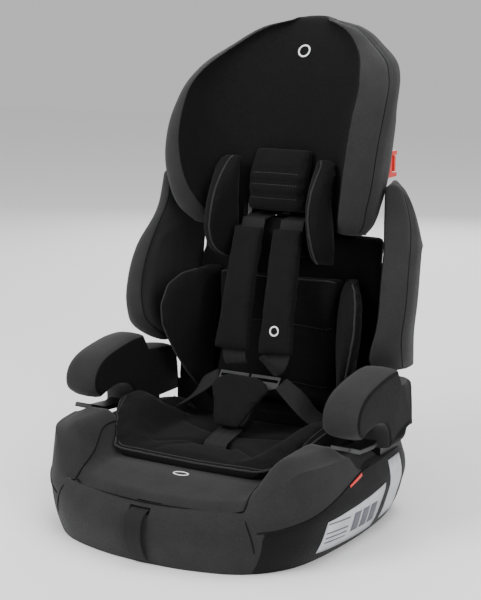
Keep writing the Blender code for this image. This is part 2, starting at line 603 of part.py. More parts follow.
# ---------------------------------------------------------------- head pillow
def make_head_pillow():
    rings = []
    for z in (0.4025, 0.409, 0.447, 0.480, 0.488):
        pinch = 0.003 if z in (0.4025, 0.488) else 0.0
        back = value_at(HEAD_BACK_Y, z) - 0.0036 - pinch
        face = 0.146 + 0.026 * smooth_step((z - 0.435) / 0.06) + pinch
        rings.append([(-0.044, back - 0.002, z), (-0.044, face + 0.005, z), (-0.036, face, z), (0.036, face, z),
                      (0.044, face + 0.005, z), (0.044, back - 0.002, z)])
    loft("head_pillow", rings, "black_fabric")
    for side, sign in SIDES.items():
        rings = []
        for x, y, z in smooth_path(PILLOW_RIM, 10):
            root = max(y + 0.008, 0.1640 - 0.0040 * smooth_step((0.474 - z) / 0.02))
            face = [(0.0605, root), (0.0620, y + 0.5 * (root - y)), (x, y)]
            back = [(x + 0.014, y + 0.005), (x + 0.027, y + 0.45 * (root - y)), (x + 0.005, root)]
            rings.append([(sign * px, py, z) for px, py in face + back])
        loft(f"head_pillow_wing_{side}", rings, "black_fabric")


# ---------------------------------------------------------------- headrest height adjuster
def make_height_adjuster(lean):
    """Carrier that grips the column, the rack on the column, and the handle and bar that lock them together."""
    carrier = box("headrest_carrier", (-0.1035, -0.0125, 0.372), (0.1035, COLUMN_THICK + 0.006, 0.512), "grey_plastic",
                  lean)
    bore = box("carrier_bore", (-COLUMN_HALF - 0.0012, -0.0065, 0.30), (COLUMN_HALF + 0.0012, COLUMN_THICK + 0.0012, 0.60),
               "steel", lean)
    rear_gap = box("carrier_gap", (-0.078, 0.0, 0.30), (0.078, 0.06, 0.60), "steel", lean)
    front_gap = box("carrier_front_gap", (-0.078, -0.03, 0.30), (0.078, 0.002, 0.420), "steel", lean)
    cut(carrier, bore, rear_gap, front_gap)

    tips = COLUMN_THICK + 0.0070
    rack_teeth = [(COLUMN_THICK + GAP, 0.300)]
    for k in range(12):
        s = 0.304 + k * TRAVEL_STEP
        rack_teeth += [(tips, s), (tips, s + 0.010), (COLUMN_THICK + 0.0030, s + 0.0110),
                       (COLUMN_THICK + 0.0030, s + 0.0190)]
    rack_teeth += [(COLUMN_THICK + GAP, 0.304 + 12 * TRAVEL_STEP)]
    prism("height_rack", rack_teeth, -0.011, 0.011, "grey_plastic", "X", lean)

    bar_s = 0.304 + 7 * TRAVEL_STEP + 0.0150
    bar_y = tips + 0.0030 + GAP / 2      # the bar stands just clear of the teeth's tips
    rod("lock_bar", (-0.0145, bar_y, bar_s), (0.0145, bar_y, bar_s), 0.0030, "steel", lean)

    housing = box("adjuster_housing", (-0.0775, COLUMN_THICK + 0.0020, 0.420), (0.0775, 0.052, 0.506), "black_plastic",
                  lean, bevel=0.004)
    hollow = box("housing_hollow", (-0.072, 0.0, 0.4245), (0.072, 0.0480, 0.5015), "steel", lean)
    top_slot = box("housing_top_slot", (-0.0295, 0.034, 0.49), (0.0295, 0.0475, 0.53), "steel", lean)
    rack_way = box("rack_way", (-0.0125, 0.0, 0.40), (0.0125, 0.0300, 0.52), "steel", lean)
    cut(housing, hollow, top_slot, rack_way)
    stem = [(-0.028, 0.468), (0.028, 0.468), (0.028, 0.532), (0.046, 0.544), (0.046, 0.562), (-0.046, 0.562),
            (-0.046, 0.544), (-0.028, 0.532)]
    handle = prism("height_handle", stem, 0.0360, 0.0460, "grey_plastic", "Y", lean, bevel=0.0018)
    grip_hole = box("grip_hole", (-0.019, 0.02, 0.518), (0.019, 0.06, 0.545), "steel", lean)
    cut(handle, grip_hole)
    for side, sign in SIDES.items():
        coil(f"handle_spring_{side}", (sign * 0.020, 0.0410, 0.4262), 0.0036, 0.0405, 5, lean)


def coil(name, foot, radius, height, turns, parent=None, wire=0.0007):
    """A compression spring that stands on foot, its axis along Z."""
    rings = []
    steps = turns * 8
    for i in range(steps + 1):
        a = 2 * math.pi * i / 8
        spoke = Vector((math.cos(a), math.sin(a), 0))
        centre = Vector(foot) + spoke * radius + Vector((0, 0, height * i / steps))
        rings.append([centre + spoke * wire * math.cos(b) + Vector((0, 0, wire * math.sin(b)))
                      for b in np.linspace(0, 2 * math.pi, 5, endpoint=False)])
    return loft(name, rings, "steel", parent)


def make_belt_guides():
    """Red guides for the vehicle's shoulder belt, behind the lower end of each headrest wing, with sprung gates."""
    low, high, front = 0.4540, 0.4900, 0.1860
    for side, sign in SIDES.items():
        outline = [(front, low), (front + 0.030, low), (front + 0.030, low + 0.006), (front + 0.014, low + 0.006),
                   (front + 0.014, high - 0.006), (front + 0.030, high - 0.006), (front + 0.030, high), (front, high)]
        guide = prism(f"shoulder_belt_guide_{side}", outline, sign * 0.1400, sign * 0.1560, "red_plastic")
        rings = []
        for z in (0.440, 0.456, 0.490, 0.500):
            outer = head_faces(z)[1]
            rings.append([(x * (1 + GAP / 0.15), y + GAP, z) for x, y in outer])
        cut(guide, loft(f"guide_relief_{side}", rings, "steel"))
        pivot_y, pivot_z, half = front + 0.0270, low + 0.0091, 0.0025
        gate = [(pivot_y - half, high - 0.0068)]
        gate += [(pivot_y - half * math.cos(a), pivot_z - half * math.sin(a)) for a in np.linspace(0, math.pi, 9)]
        gate += [(pivot_y + half, high - 0.0068)]
        prism(f"belt_gate_{side}", gate, sign * 0.1415, sign * 0.1545, "red_plastic")


# ---------------------------------------------------------------- harness
def buckle_axes():
    """Unit vectors of the buckle: along it, up the crotch strap, and out of its face."""
    along = Vector((0, math.cos(BUCKLE_TILT), math.sin(BUCKLE_TILT)))
    return along, Vector((0, -along.z, along.y))


def make_harness():
    along, out = buckle_axes()
    buckle = frame("buckle_frame", BUCKLE, (math.pi / 2 - math.radians(90) + BUCKLE_TILT - math.pi / 2, 0, 0))
    # In the buckle's frame Z runs along it and -Y faces out.
    outline = [(-0.019, -0.0275), (0.019, -0.0275), (0.0245, -0.015), (0.0260, 0.010), (0.0230, 0.0265),
               (-0.0230, 0.0265), (-0.0260, 0.010), (-0.0245, -0.015)]
    housing = prism("buckle_housing", outline, -0.0095, 0.0095, "black_plastic", "Y", buckle, bevel=0.0025)
    button_pocket = box("button_pocket", (-0.0125, -0.020, -0.0225), (0.0125, -0.0030, 0.0045), "steel", buckle)
    cut(housing, button_pocket)
    for side, sign in SIDES.items():
        x0, x1 = sorted((sign * 0.0030, sign * 0.0195))
        cut(housing, box(f"tongue_mouth_{side}", (x0, -0.0022, 0.008), (x1, 0.0022, 0.040), "steel", buckle))
    button = box("buckle_button", (-0.0120, -0.0120, -0.0160), (0.0120, -0.0035, 0.0040), "red_plastic", buckle,
                 bevel=0.0015)
    button["note"] = "slides down the buckle to release both tongues"

    for side, sign in SIDES.items():
        tongue = prism(f"buckle_tongue_{side}",
                       [(sign * x, z) for x, z in ((0.0040, 0.0090), (0.0185, 0.0090), (0.0185, 0.0275),
                                                   (0.0480, 0.0400), (0.0480, 0.0560), (0.0020, 0.0560),
                                                   (0.0020, 0.0275), (0.0040, 0.0275))],
                       -0.0014, 0.0014, "steel", "Y", buckle)
        cut(tongue, box(f"tongue_slot_{side}", (sign * 0.0250 - 0.0205, -0.01, 0.0470),
                        (sign * 0.0250 + 0.0205, 0.01, 0.0515), "steel", buckle))

    # Crotch strap and its pad.
    foot = BUCKLE - along * 0.0285
    ribbon("crotch_strap", [foot, (0, -0.002, 0.1090), (0, -0.0150, 0.1045), (0, -0.018, 0.095), (0, -0.018, 0.080), (0, -0.018, 0.052)],
           0.0360, "webbing")
    pad_low, pad_high = BUCKLE + out * 0.0165 - along * 0.034, BUCKLE + out * 0.0165 + along * 0.046
    rings = []
    for share, half in ((0.0, 0.019), (0.12, 0.025), (0.45, 0.036), (0.75, 0.047), (0.90, 0.040), (1.0, 0.022)):
        p = pad_low.lerp(pad_high, share)
        rings.append([p + Vector((x, 0, 0)) + out * d for x, d in
                      ((-half, -0.0022), (half, -0.0022), (half * 0.96, 0.0035), (-half * 0.96, 0.0035))])
    loft("crotch_pad", rings, "black_fabric", smooth_angle=50)

    # Shoulder straps, from the slots in the backrest, under the pads, to the tongues.
    tongue_eye = BUCKLE + along * 0.0493
    for side, sign in SIDES.items():
        low_x = {"left": -0.028, "right": 0.042}[side]
        top = Vector((sign * SLOT_X, 0.1420, 0.3810))
        low = Vector((low_x, 0.0840, 0.2130))
        eye = tongue_eye + Vector((sign * 0.0250, 0, 0)) + out * 0.0060 + along * 0.0165
        behind = [lean_point(sign * SLOT_X, y, s) for y, s in
                  ((0.0372, 0.288), (0.0362, 0.340), (0.0335, 0.386), (0.0290, 0.394), (-0.008, 0.3965))]
        path = behind + [(sign * SLOT_X, 0.1540, 0.3905), top, top.lerp(low, 0.5) + Vector((0, -0.006, 0)), low, eye]
        ribbon(f"shoulder_strap_{side}", path, WEB_WIDTH, "webbing")
        pad_top, pad_low_end = top + Vector((0, -0.0030, 0)), low + Vector((0, -0.0030, 0))
        middle = top.lerp(low, 0.5) + Vector((0, -0.0090, 0))
        centre = [pad_top, pad_top.lerp(middle, 0.5) + Vector((0, -0.001, 0)), middle,
                  middle.lerp(pad_low_end, 0.5) + Vector((0, -0.001, 0)), pad_low_end]
        centre = [p + Vector((0, -0.0045, 0)) for p in centre]
        ribbon(f"shoulder_pad_{side}", centre, [0.046, 0.052, 0.053, 0.053, 0.053], "black_fabric", thick=0.010)

        # Hip strap from the tongue down through the seat to its anchor; it turns as it goes.
        start = tongue_eye + Vector((sign * 0.0505, 0, 0)) - along * 0.0015
        stations = [(*start, *along, 0.022), (sign * 0.078, 0.0820, 0.165, *along, 0.030),
                    (sign * 0.100, 0.0880, 0.148, 0.0, 0.90, 0.43, WEB_WIDTH),
                    (sign * 0.1165, 0.0860, 0.126, 0, 1, 0.1, WEB_WIDTH),
                    (sign * 0.120, 0.0850, 0.104, 0, 1, 0, WEB_WIDTH), (sign * 0.120, 0.0850, 0.080, 0, 1, 0, WEB_WIDTH)]
        stations = [tuple(float(v) for v in s) for s in smooth_path(stations, 12)]
        ribbon(f"hip_strap_{side}", [s[:3] for s in stations], [s[6] for s in stations], "webbing",
               across=[s[3:6] for s in stations])
        box(f"hip_anchor_{side}", (sign * 0.120 - 0.005, 0.0645, 0.0750), (sign * 0.120 + 0.005, 0.1055, 0.0785),
            "steel")
    box("crotch_anchor", (-0.026, -0.029, 0.0475), (0.026, -0.007, 0.0512), "steel", bevel=0.0008)


def make_rear_harness(lean):
    """Yoke that gathers the shoulder straps behind the backrest, and the strap from it to the front adjuster."""
    plate = [(-0.052, 0.285), (0.052, 0.285), (0.052, 0.268), (0.024, 0.240), (-0.024, 0.240), (-0.052, 0.268)]
    yoke = prism("harness_yoke", plate, 0.0330, 0.0355, "steel", "Y", lean)
    for side, sign in SIDES.items():
        cut(yoke, box(f"yoke_slot_{side}", (sign * SLOT_X - 0.0190, 0.02, 0.2740), (sign * SLOT_X + 0.0190, 0.05, 0.2785),
                      "steel", lean))
    ribbon("yoke_strap", [(0, 0.0368, 0.2385), (0, 0.0372, 0.190), (0, 0.0380, 0.120), (0, 0.0360, 0.060)],
           WEB_WIDTH * 0.95, "webbing", parent=lean)


def make_front_adjuster():
    """Webbing lock under the front of the seat, its lever, and the strap that tightens the harness."""
    cheeks = [(-0.168, 0.0290), (-0.106, 0.0290), (-0.106, 0.0370), (-0.146, 0.0460), (-0.168, 0.0460)]
    housing = prism("adjuster_body", cheeks, -0.0235, 0.0235, "steel")
    channel = box("adjuster_channel", (-0.0205, -0.20, 0.0320), (0.0205, -0.08, 0.09), "steel")
    cut(housing, channel)
    lever = [(-0.1640, 0.0470), (-0.1600, 0.0525), (-0.1120, 0.0525), (-0.1085, 0.0500), (-0.1120, 0.0475),
             (-0.1500, 0.0465), (-0.1560, 0.0400), (-0.1610, 0.0400)]
    prism("adjuster_lever", lever, -0.0170, 0.0170, "red_plastic", bevel=0.0010)
    coil("adjuster_spring", (0.0, -0.1260, 0.0370), 0.0036, 0.0092, 3)
    path = [(0, 0.214, 0.0150), (0, 0.170, 0.0175), (0, 0.060, 0.0240), (0, -0.060, 0.0300), (0, -0.110, 0.0345),
            (0, -0.1580, 0.0352), (0, -0.1710, 0.0400), (0, -0.1780, 0.0520), (0, -0.1815, 0.0640),
            (0, -0.1900, 0.0690), (0, -0.2040, 0.0690), (0, -0.2150, 0.0600), (0, -0.2180, 0.0400),
            (0, -0.2120, 0.0200), (0, -0.2040, 0.0060)]
    ribbon("adjuster_strap", path, [0.032] * 5 + [0.0265] * 10, "webbing")


def main():
    clear_scene()
    # The lean frame's Z runs up the column and its Y points backwards from the column's front plane.
    lean = frame("lean_frame", (0, COLUMN_Y, 0), (-LEAN, 0, 0))
    make_base()
    make_seat_insert()
    flanges = make_torso_wings()
    make_backrest(lean, flanges)
    make_back_insert()
    make_headrest()
    make_head_pillow()
    make_height_adjuster(lean)
    make_belt_guides()
    make_harness()
    make_rear_harness(lean)
    make_front_adjuster()


main()
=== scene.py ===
"""The looks of a high-back child car seat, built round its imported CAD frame."""
import json
import math

import bmesh
import bpy
import numpy as np
from mathutils import Vector
from mathutils.bvhtree import BVHTree
from mathutils.kdtree import KDTree
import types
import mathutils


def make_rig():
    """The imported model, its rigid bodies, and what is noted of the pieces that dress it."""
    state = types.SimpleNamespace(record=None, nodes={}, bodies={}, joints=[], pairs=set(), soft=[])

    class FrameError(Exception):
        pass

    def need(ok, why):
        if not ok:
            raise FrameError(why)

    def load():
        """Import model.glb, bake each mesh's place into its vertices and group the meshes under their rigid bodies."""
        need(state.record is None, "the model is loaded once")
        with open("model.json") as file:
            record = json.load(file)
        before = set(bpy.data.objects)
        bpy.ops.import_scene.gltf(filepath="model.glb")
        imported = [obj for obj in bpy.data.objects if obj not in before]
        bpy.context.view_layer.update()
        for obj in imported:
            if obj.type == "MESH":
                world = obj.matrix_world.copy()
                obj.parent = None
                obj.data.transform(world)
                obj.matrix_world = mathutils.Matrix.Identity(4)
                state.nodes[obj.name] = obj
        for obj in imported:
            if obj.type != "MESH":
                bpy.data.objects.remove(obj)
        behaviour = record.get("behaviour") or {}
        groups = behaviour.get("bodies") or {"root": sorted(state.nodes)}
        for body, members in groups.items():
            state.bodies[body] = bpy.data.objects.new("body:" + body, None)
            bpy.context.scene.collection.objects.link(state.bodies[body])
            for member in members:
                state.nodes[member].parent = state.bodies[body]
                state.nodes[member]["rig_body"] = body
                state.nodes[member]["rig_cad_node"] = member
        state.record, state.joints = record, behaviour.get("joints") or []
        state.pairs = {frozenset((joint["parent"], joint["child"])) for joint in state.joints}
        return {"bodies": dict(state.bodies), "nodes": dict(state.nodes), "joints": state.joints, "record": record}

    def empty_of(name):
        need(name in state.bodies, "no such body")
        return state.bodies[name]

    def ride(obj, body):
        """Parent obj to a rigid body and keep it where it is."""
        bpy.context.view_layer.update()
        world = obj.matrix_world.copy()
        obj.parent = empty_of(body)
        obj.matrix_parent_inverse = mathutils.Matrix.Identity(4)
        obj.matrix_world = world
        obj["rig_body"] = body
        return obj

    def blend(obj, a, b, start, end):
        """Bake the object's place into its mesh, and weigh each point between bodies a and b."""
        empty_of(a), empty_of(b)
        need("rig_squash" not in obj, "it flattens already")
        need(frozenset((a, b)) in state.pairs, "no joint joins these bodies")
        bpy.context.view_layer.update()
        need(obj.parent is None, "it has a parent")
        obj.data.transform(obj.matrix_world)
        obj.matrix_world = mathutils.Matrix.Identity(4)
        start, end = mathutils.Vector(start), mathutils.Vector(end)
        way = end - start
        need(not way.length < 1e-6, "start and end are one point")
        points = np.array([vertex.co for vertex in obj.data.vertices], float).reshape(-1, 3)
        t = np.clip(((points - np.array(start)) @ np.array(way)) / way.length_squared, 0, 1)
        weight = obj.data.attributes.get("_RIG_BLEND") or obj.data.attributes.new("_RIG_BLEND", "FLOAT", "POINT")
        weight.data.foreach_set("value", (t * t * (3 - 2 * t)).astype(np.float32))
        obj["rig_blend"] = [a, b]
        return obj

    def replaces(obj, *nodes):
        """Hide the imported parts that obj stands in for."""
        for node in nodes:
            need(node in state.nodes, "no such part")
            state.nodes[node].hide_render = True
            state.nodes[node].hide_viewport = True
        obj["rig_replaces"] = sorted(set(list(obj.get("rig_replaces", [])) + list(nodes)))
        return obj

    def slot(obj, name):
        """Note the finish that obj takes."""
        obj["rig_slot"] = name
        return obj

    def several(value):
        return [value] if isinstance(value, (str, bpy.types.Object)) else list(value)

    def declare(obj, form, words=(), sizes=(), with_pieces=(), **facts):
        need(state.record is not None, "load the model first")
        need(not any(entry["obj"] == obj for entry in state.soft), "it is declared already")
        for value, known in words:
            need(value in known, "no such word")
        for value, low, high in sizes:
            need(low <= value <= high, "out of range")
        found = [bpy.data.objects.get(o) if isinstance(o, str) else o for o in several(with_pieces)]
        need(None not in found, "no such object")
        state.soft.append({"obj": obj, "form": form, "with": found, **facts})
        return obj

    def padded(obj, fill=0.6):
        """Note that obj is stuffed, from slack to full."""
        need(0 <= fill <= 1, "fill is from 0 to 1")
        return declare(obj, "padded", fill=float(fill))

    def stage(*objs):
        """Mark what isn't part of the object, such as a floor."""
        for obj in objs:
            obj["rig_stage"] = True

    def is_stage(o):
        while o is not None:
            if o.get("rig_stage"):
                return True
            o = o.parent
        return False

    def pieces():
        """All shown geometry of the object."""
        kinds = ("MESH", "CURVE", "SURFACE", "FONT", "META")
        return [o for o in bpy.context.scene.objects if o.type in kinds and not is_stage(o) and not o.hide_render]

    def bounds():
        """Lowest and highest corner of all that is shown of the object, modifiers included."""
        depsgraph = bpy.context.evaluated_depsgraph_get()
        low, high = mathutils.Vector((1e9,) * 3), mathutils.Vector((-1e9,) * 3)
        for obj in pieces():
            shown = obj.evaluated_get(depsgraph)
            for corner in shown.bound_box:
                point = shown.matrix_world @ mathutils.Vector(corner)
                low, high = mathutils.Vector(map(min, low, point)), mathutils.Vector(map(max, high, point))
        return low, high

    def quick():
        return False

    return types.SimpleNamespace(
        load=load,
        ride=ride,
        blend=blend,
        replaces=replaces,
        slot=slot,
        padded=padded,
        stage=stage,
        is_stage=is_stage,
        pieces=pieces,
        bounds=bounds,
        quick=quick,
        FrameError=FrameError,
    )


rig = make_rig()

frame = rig.load()
CAD_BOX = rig.bounds()
NODES = frame["nodes"]
LEAN = math.radians(9.0)          # the backrest column leans back by this much
COLUMN_Y = 0.1523                 # where the column's front plane would meet the floor

# ---------------------------------------------------------------- camera, light and floor
TARGET = Vector((0.0267, 0.0068, 0.3025))
CAMERA_AZIMUTH, CAMERA_ELEVATION, CAMERA_DISTANCE = math.radians(30.0), math.radians(11.804), 1.8932
LENS, SENSOR = 85.41, 36.0        # millimetres
FLOOR_HALF, FLOOR_Z = 6.0, -0.0004


def add_camera():
    offset = Vector((math.sin(CAMERA_AZIMUTH) * math.cos(CAMERA_ELEVATION),
                     -math.cos(CAMERA_AZIMUTH) * math.cos(CAMERA_ELEVATION), math.sin(CAMERA_ELEVATION)))
    data = bpy.data.cameras.new("camera")
    data.lens, data.sensor_width = LENS, SENSOR
    cam = bpy.data.objects.new("camera", data)
    cam.location = TARGET + offset * CAMERA_DISTANCE
    cam.rotation_euler = (-offset).to_track_quat("-Z", "Y").to_euler()
    bpy.context.scene.collection.objects.link(cam)
    bpy.context.scene.camera = cam


def add_light(name, place, aim, size, power):
    data = bpy.data.lights.new(name, "AREA")
    data.energy, data.size = power, size
    lamp = bpy.data.objects.new(name, data)
    lamp.location = place
    lamp.rotation_euler = (Vector(aim) - Vector(place)).to_track_quat("-Z", "Y").to_euler()
    bpy.context.scene.collection.objects.link(lamp)


def add_studio():
    add_light("key", (-1.3, -2.0, 2.3), (0, 0, 0.3), 1.5, 78)
    add_light("fill", (2.3, -1.5, 1.3), (0, 0, 0.3), 1.6, 58)
    add_light("top", (0.2, 0.5, 2.6), (0, 0.05, 0.3), 2.0, 40)
    add_light("rim", (-0.8, 2.3, 1.2), (0, 0.1, 0.3), 1.6, 22)
    world = bpy.data.worlds.new("studio")
    world.use_nodes = True
    background = world.node_tree.nodes["Background"]
    background.inputs[0].default_value = (1.0, 1.0, 1.0, 1.0)
    background.inputs[1].default_value = 0.62
    bpy.context.scene.world = world
    mesh = bpy.data.meshes.new("floor")
    r, z = FLOOR_HALF, FLOOR_Z
    mesh.from_pydata([(-r, -r, z), (r, -r, z), (r, r, z), (-r, r, z)], [], [(0, 1, 2, 3)])
    floor = bpy.data.objects.new("floor", mesh)
    bpy.context.scene.collection.objects.link(floor)
    mat = bpy.data.materials.new("floor")
    mat.use_nodes = True
    shader = mat.node_tree.nodes["Principled BSDF"]
    shader.inputs["Base Color"].default_value = (0.93, 0.93, 0.93, 1)
    shader.inputs["Roughness"].default_value = 0.9
    mesh.materials.append(mat)
    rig.stage(floor)


# ---------------------------------------------------------------- materials
class Shader:
    """A small builder of node materials."""

    def __init__(self, name, colour, roughness, metallic=0.0, sheen=0.0, coat=0.0, specular=0.5):
        self.mat = bpy.data.materials.new(name)
        self.mat.use_nodes = True
        self.tree = self.mat.node_tree
        self.bsdf = self.tree.nodes["Principled BSDF"]
        self.bsdf.inputs["Base Color"].default_value = (*colour, 1)
        self.bsdf.inputs["Roughness"].default_value = roughness
        self.bsdf.inputs["Metallic"].default_value = metallic
        self.bsdf.inputs["Sheen Weight"].default_value = sheen
        self.bsdf.inputs["Sheen Roughness"].default_value = 0.45
        self.bsdf.inputs["Coat Weight"].default_value = coat
        self.bsdf.inputs["Specular IOR Level"].default_value = specular
        self.mat.diffuse_color = (*colour, 1)
        self.coord = self.node("ShaderNodeTexCoord").outputs["Object"]

    def node(self, kind, **values):
        made = self.tree.nodes.new(kind)
        for key, value in values.items():
            setattr(made, key, value)
        return made

    def link(self, a, b):
        self.tree.links.new(a, b)

    def noise(self, scale, detail=2.0, source=None):
        made = self.node("ShaderNodeTexNoise")
        made.inputs["Scale"].default_value = scale
        made.inputs["Detail"].default_value = detail
        self.link(source or self.coord, made.inputs["Vector"])
        return made.outputs["Fac"]

    def wave(self, scale, direction, distortion=0.0, source=None):
        made = self.node("ShaderNodeTexWave", bands_direction=direction)
        made.inputs["Scale"].default_value = scale
        made.inputs["Distortion"].default_value = distortion
        made.inputs["Detail Scale"].default_value = 2.0
        self.link(source or self.coord, made.inputs["Vector"])
        return made.outputs["Fac"]

    def math(self, operation, a, b=None):
        made = self.node("ShaderNodeMath", operation=operation)
        for socket, value in zip(made.inputs, (a, b)):
            if value is None:
                continue
            if isinstance(value, (int, float)):
                socket.default_value = value
            else:
                self.link(value, socket)
        return made.outputs[0]

    def ramp(self, fac, stops):
        made = self.node("ShaderNodeValToRGB")
        elements = made.color_ramp.elements
        while len(elements) < len(stops):
            elements.new(0.5)
        for element, (at, colour) in zip(elements, stops):
            element.position = at
            element.color = (*colour, 1)
        self.link(fac, made.inputs[0])
        return made.outputs[0]

    def mix(self, fac, a, b):
        made = self.node("ShaderNodeMix", data_type="RGBA")
        for socket, value in zip((made.inputs[0], made.inputs[6], made.inputs[7]), (fac, a, b)):
            if isinstance(value, (int, float)):
                socket.default_value = value
            elif isinstance(value, tuple):
                socket.default_value = (*value, 1)
            else:
                self.link(value, socket)
        return made.outputs[2]

    def bump(self, height, strength, distance):
        made = self.node("ShaderNodeBump")
        made.inputs["Strength"].default_value = strength
        made.inputs["Distance"].default_value = distance
        self.link(height, made.inputs["Height"])
        self.link(made.outputs[0], self.bsdf.inputs["Normal"])


def scaled(colour, factor):
    return tuple(min(1.0, c * factor) for c in colour)


def fabric(name, colour, variation=0.25, sheen=0.25, knit=620.0, roughness=0.85, fleck=0.0, zone=None):
    """Close knit laminated to foam: fine ribs, a mottled dye and soft large-scale ripples."""
    s = Shader(name, colour, roughness, sheen=sheen, specular=0.16)
    fine, broad = s.math("MULTIPLY", s.noise(900.0, 3.0), 0.7), s.math("MULTIPLY", s.noise(34.0, 2.0), 0.3)
    mottled = s.math("ADD", fine, broad)
    low, high = scaled(colour, 1 - variation), scaled(colour, 1 + variation)
    tint = s.ramp(mottled, [(0.36, low), (0.64, high)])
    if fleck:
        spots = s.ramp(s.noise(2100.0, 1.0), [(0.62, (0, 0, 0)), (0.72, (1, 1, 1))])
        tint = s.mix(s.math("MULTIPLY", spots, fleck), tint, scaled(colour, 2.4))
    if zone:
        marked = s.node("ShaderNodeAttribute", attribute_name="zone").outputs["Fac"]
        inside = s.math("GREATER_THAN", marked, 0.0)
        other = s.ramp(mottled, [(0.36, scaled(zone, 1 - variation)), (0.64, scaled(zone, 1 + variation))])
        tint = s.mix(inside, tint, other)
    s.link(tint, s.bsdf.inputs["Base Color"])
    ribs = s.math("ADD", s.wave(knit, "DIAGONAL", 0.6), s.wave(knit * 0.93, "Z", 0.6))
    height = s.math("ADD", s.math("MULTIPLY", ribs, 0.35), s.math("MULTIPLY", s.noise(60.0, 3.0), 1.6))
    s.bump(height, 0.45, 0.0005)
    smooth, coarse = roughness - 0.08, min(1, roughness + 0.08)
    rough = s.ramp(s.noise(420.0, 2.0), [(0.3, (smooth,) * 3), (0.7, (coarse,) * 3)])
    s.link(rough, s.bsdf.inputs["Roughness"])
    return s.mat


def webbing(name, colour, light=1.35, pitch=0.0021, cell=0.0058):
    """Woven polyester strap: herringbone ribs along its length and bound edges, from the strap's own UVs."""
    s = Shader(name, colour, 0.66, sheen=0.03, specular=0.14)
    uv = s.node("ShaderNodeUVMap", uv_map="strap").outputs[0]
    parts = s.node("ShaderNodeSeparateXYZ")
    s.link(uv, parts.inputs[0])
    across, along = parts.outputs[0], parts.outputs[1]
    zig = s.math("MULTIPLY", s.math("PINGPONG", across, cell), 0.9)
    ribs = s.math("SINE", s.math("MULTIPLY", s.math("ADD", along, zig), 2 * math.pi / pitch))
    yarn = s.math("SINE", s.math("MULTIPLY", across, 2 * math.pi / 0.0011))
    mixed = s.math("ADD", s.math("MULTIPLY", ribs, 0.34), 0.5)
    tint = s.ramp(mixed, [(0.15, scaled(colour, 0.72)), (0.85, scaled(colour, light))])
    worn = s.mix(s.math("MULTIPLY", s.noise(300.0, 3.0), 0.3), tint, scaled(colour, 1.5))
    s.link(worn, s.bsdf.inputs["Base Color"])
    height = s.math("ADD", ribs, s.math("MULTIPLY", yarn, 0.35))
    s.bump(height, 0.5, 0.00035)
    return s.mat


def plastic(name, colour, roughness, grain=900.0, bump=0.12, coat=0.0, specular=0.32):
    """Moulded plastic: spark-eroded grain, slight scuffs and uneven gloss."""
    s = Shader(name, colour, roughness, coat=coat, specular=specular)
    tint = s.ramp(s.noise(45.0, 4.0), [(0.3, scaled(colour, 0.88)), (0.7, scaled(colour, 1.12))])
    s.link(tint, s.bsdf.inputs["Base Color"])
    gloss = s.ramp(s.noise(24.0, 5.0), [(0.3, (roughness - 0.07,) * 3), (0.7, (roughness + 0.07,) * 3)])
    s.link(gloss, s.bsdf.inputs["Roughness"])
    s.bump(s.noise(grain, 2.0), bump, 0.0003)
    return s.mat


def metal(name, colour, roughness):
    """Zinc-plated steel with faint drawing lines."""
    s = Shader(name, colour, roughness, metallic=1.0)
    gloss = s.ramp(s.noise(160.0, 4.0), [(0.3, (roughness - 0.1,) * 3), (0.7, (roughness + 0.12,) * 3)])
    s.link(gloss, s.bsdf.inputs["Roughness"])
    s.bump(s.wave(900.0, "X", 4.0), 0.08, 0.0001)
    return s.mat


def foam(name, colour):
    """Moulded bead foam: closed polygonal beads."""
    s = Shader(name, colour, 0.8, specular=0.3)
    cells = s.node("ShaderNodeTexVoronoi", feature="DISTANCE_TO_EDGE")
    cells.inputs["Scale"].default_value = 260.0
    s.link(s.coord, cells.inputs["Vector"])
    tint = s.ramp(cells.outputs[0], [(0.02, scaled(colour, 0.82)), (0.2, colour)])
    s.link(tint, s.bsdf.inputs["Base Color"])
    s.bump(cells.outputs[0], 0.4, 0.0006)
    return s.mat


GREY = (0.0175, 0.0175, 0.0182)
BLACK = (0.0016, 0.0016, 0.0019)
MAT = {}


def make_materials():
    MAT["grey"] = fabric("charcoal_knit", GREY, variation=0.24, sheen=0.10, fleck=0.10)
    MAT["grey_zoned"] = fabric("charcoal_knit_zoned", GREY, variation=0.24, sheen=0.10, fleck=0.10,
                               zone=BLACK)
    MAT["black"] = fabric("black_knit", BLACK, variation=0.35, sheen=0.032, knit=760.0)
    MAT["soft_black"] = fabric("pad_knit", scaled(BLACK, 1.6), variation=0.30, sheen=0.03, knit=700.0)
    MAT["edge"] = fabric("edge_binding", (0.020, 0.020, 0.021), variation=0.15, sheen=0.12, knit=900.0)
    MAT["seam"] = fabric("seam_cord", (0.0025, 0.0025, 0.0027), variation=0.1, sheen=0.02)
    MAT["stitch"] = fabric("thread", (0.050, 0.050, 0.052), variation=0.2, sheen=0.1)
    MAT["webbing"] = webbing("harness_webbing", (0.012, 0.012, 0.0125))
    MAT["strap"] = webbing("adjuster_webbing", (0.0065, 0.0065, 0.0068), light=2.2, pitch=0.0030, cell=0.0066)
    MAT["plastic"] = plastic("black_moulding", (0.0060, 0.0060, 0.0066), 0.46)
    MAT["grey_plastic"] = plastic("grey_moulding", (0.030, 0.030, 0.032), 0.5)
    MAT["red"] = plastic("red_moulding", (0.66, 0.030, 0.022), 0.34, bump=0.05, coat=0.1)
    MAT["label"] = plastic("label_film", (0.42, 0.43, 0.46), 0.4, bump=0.02)
    MAT["label_ink"] = plastic("label_ink", (0.10, 0.10, 0.12), 0.5, bump=0.02)
    MAT["mark"] = plastic("pale_mark", (0.80, 0.80, 0.80), 0.5, bump=0.03)
    MAT["foam"] = foam("bead_foam", (0.80, 0.80, 0.78))
    MAT["steel"] = metal("zinc_steel", (0.52, 0.53, 0.55), 0.32)


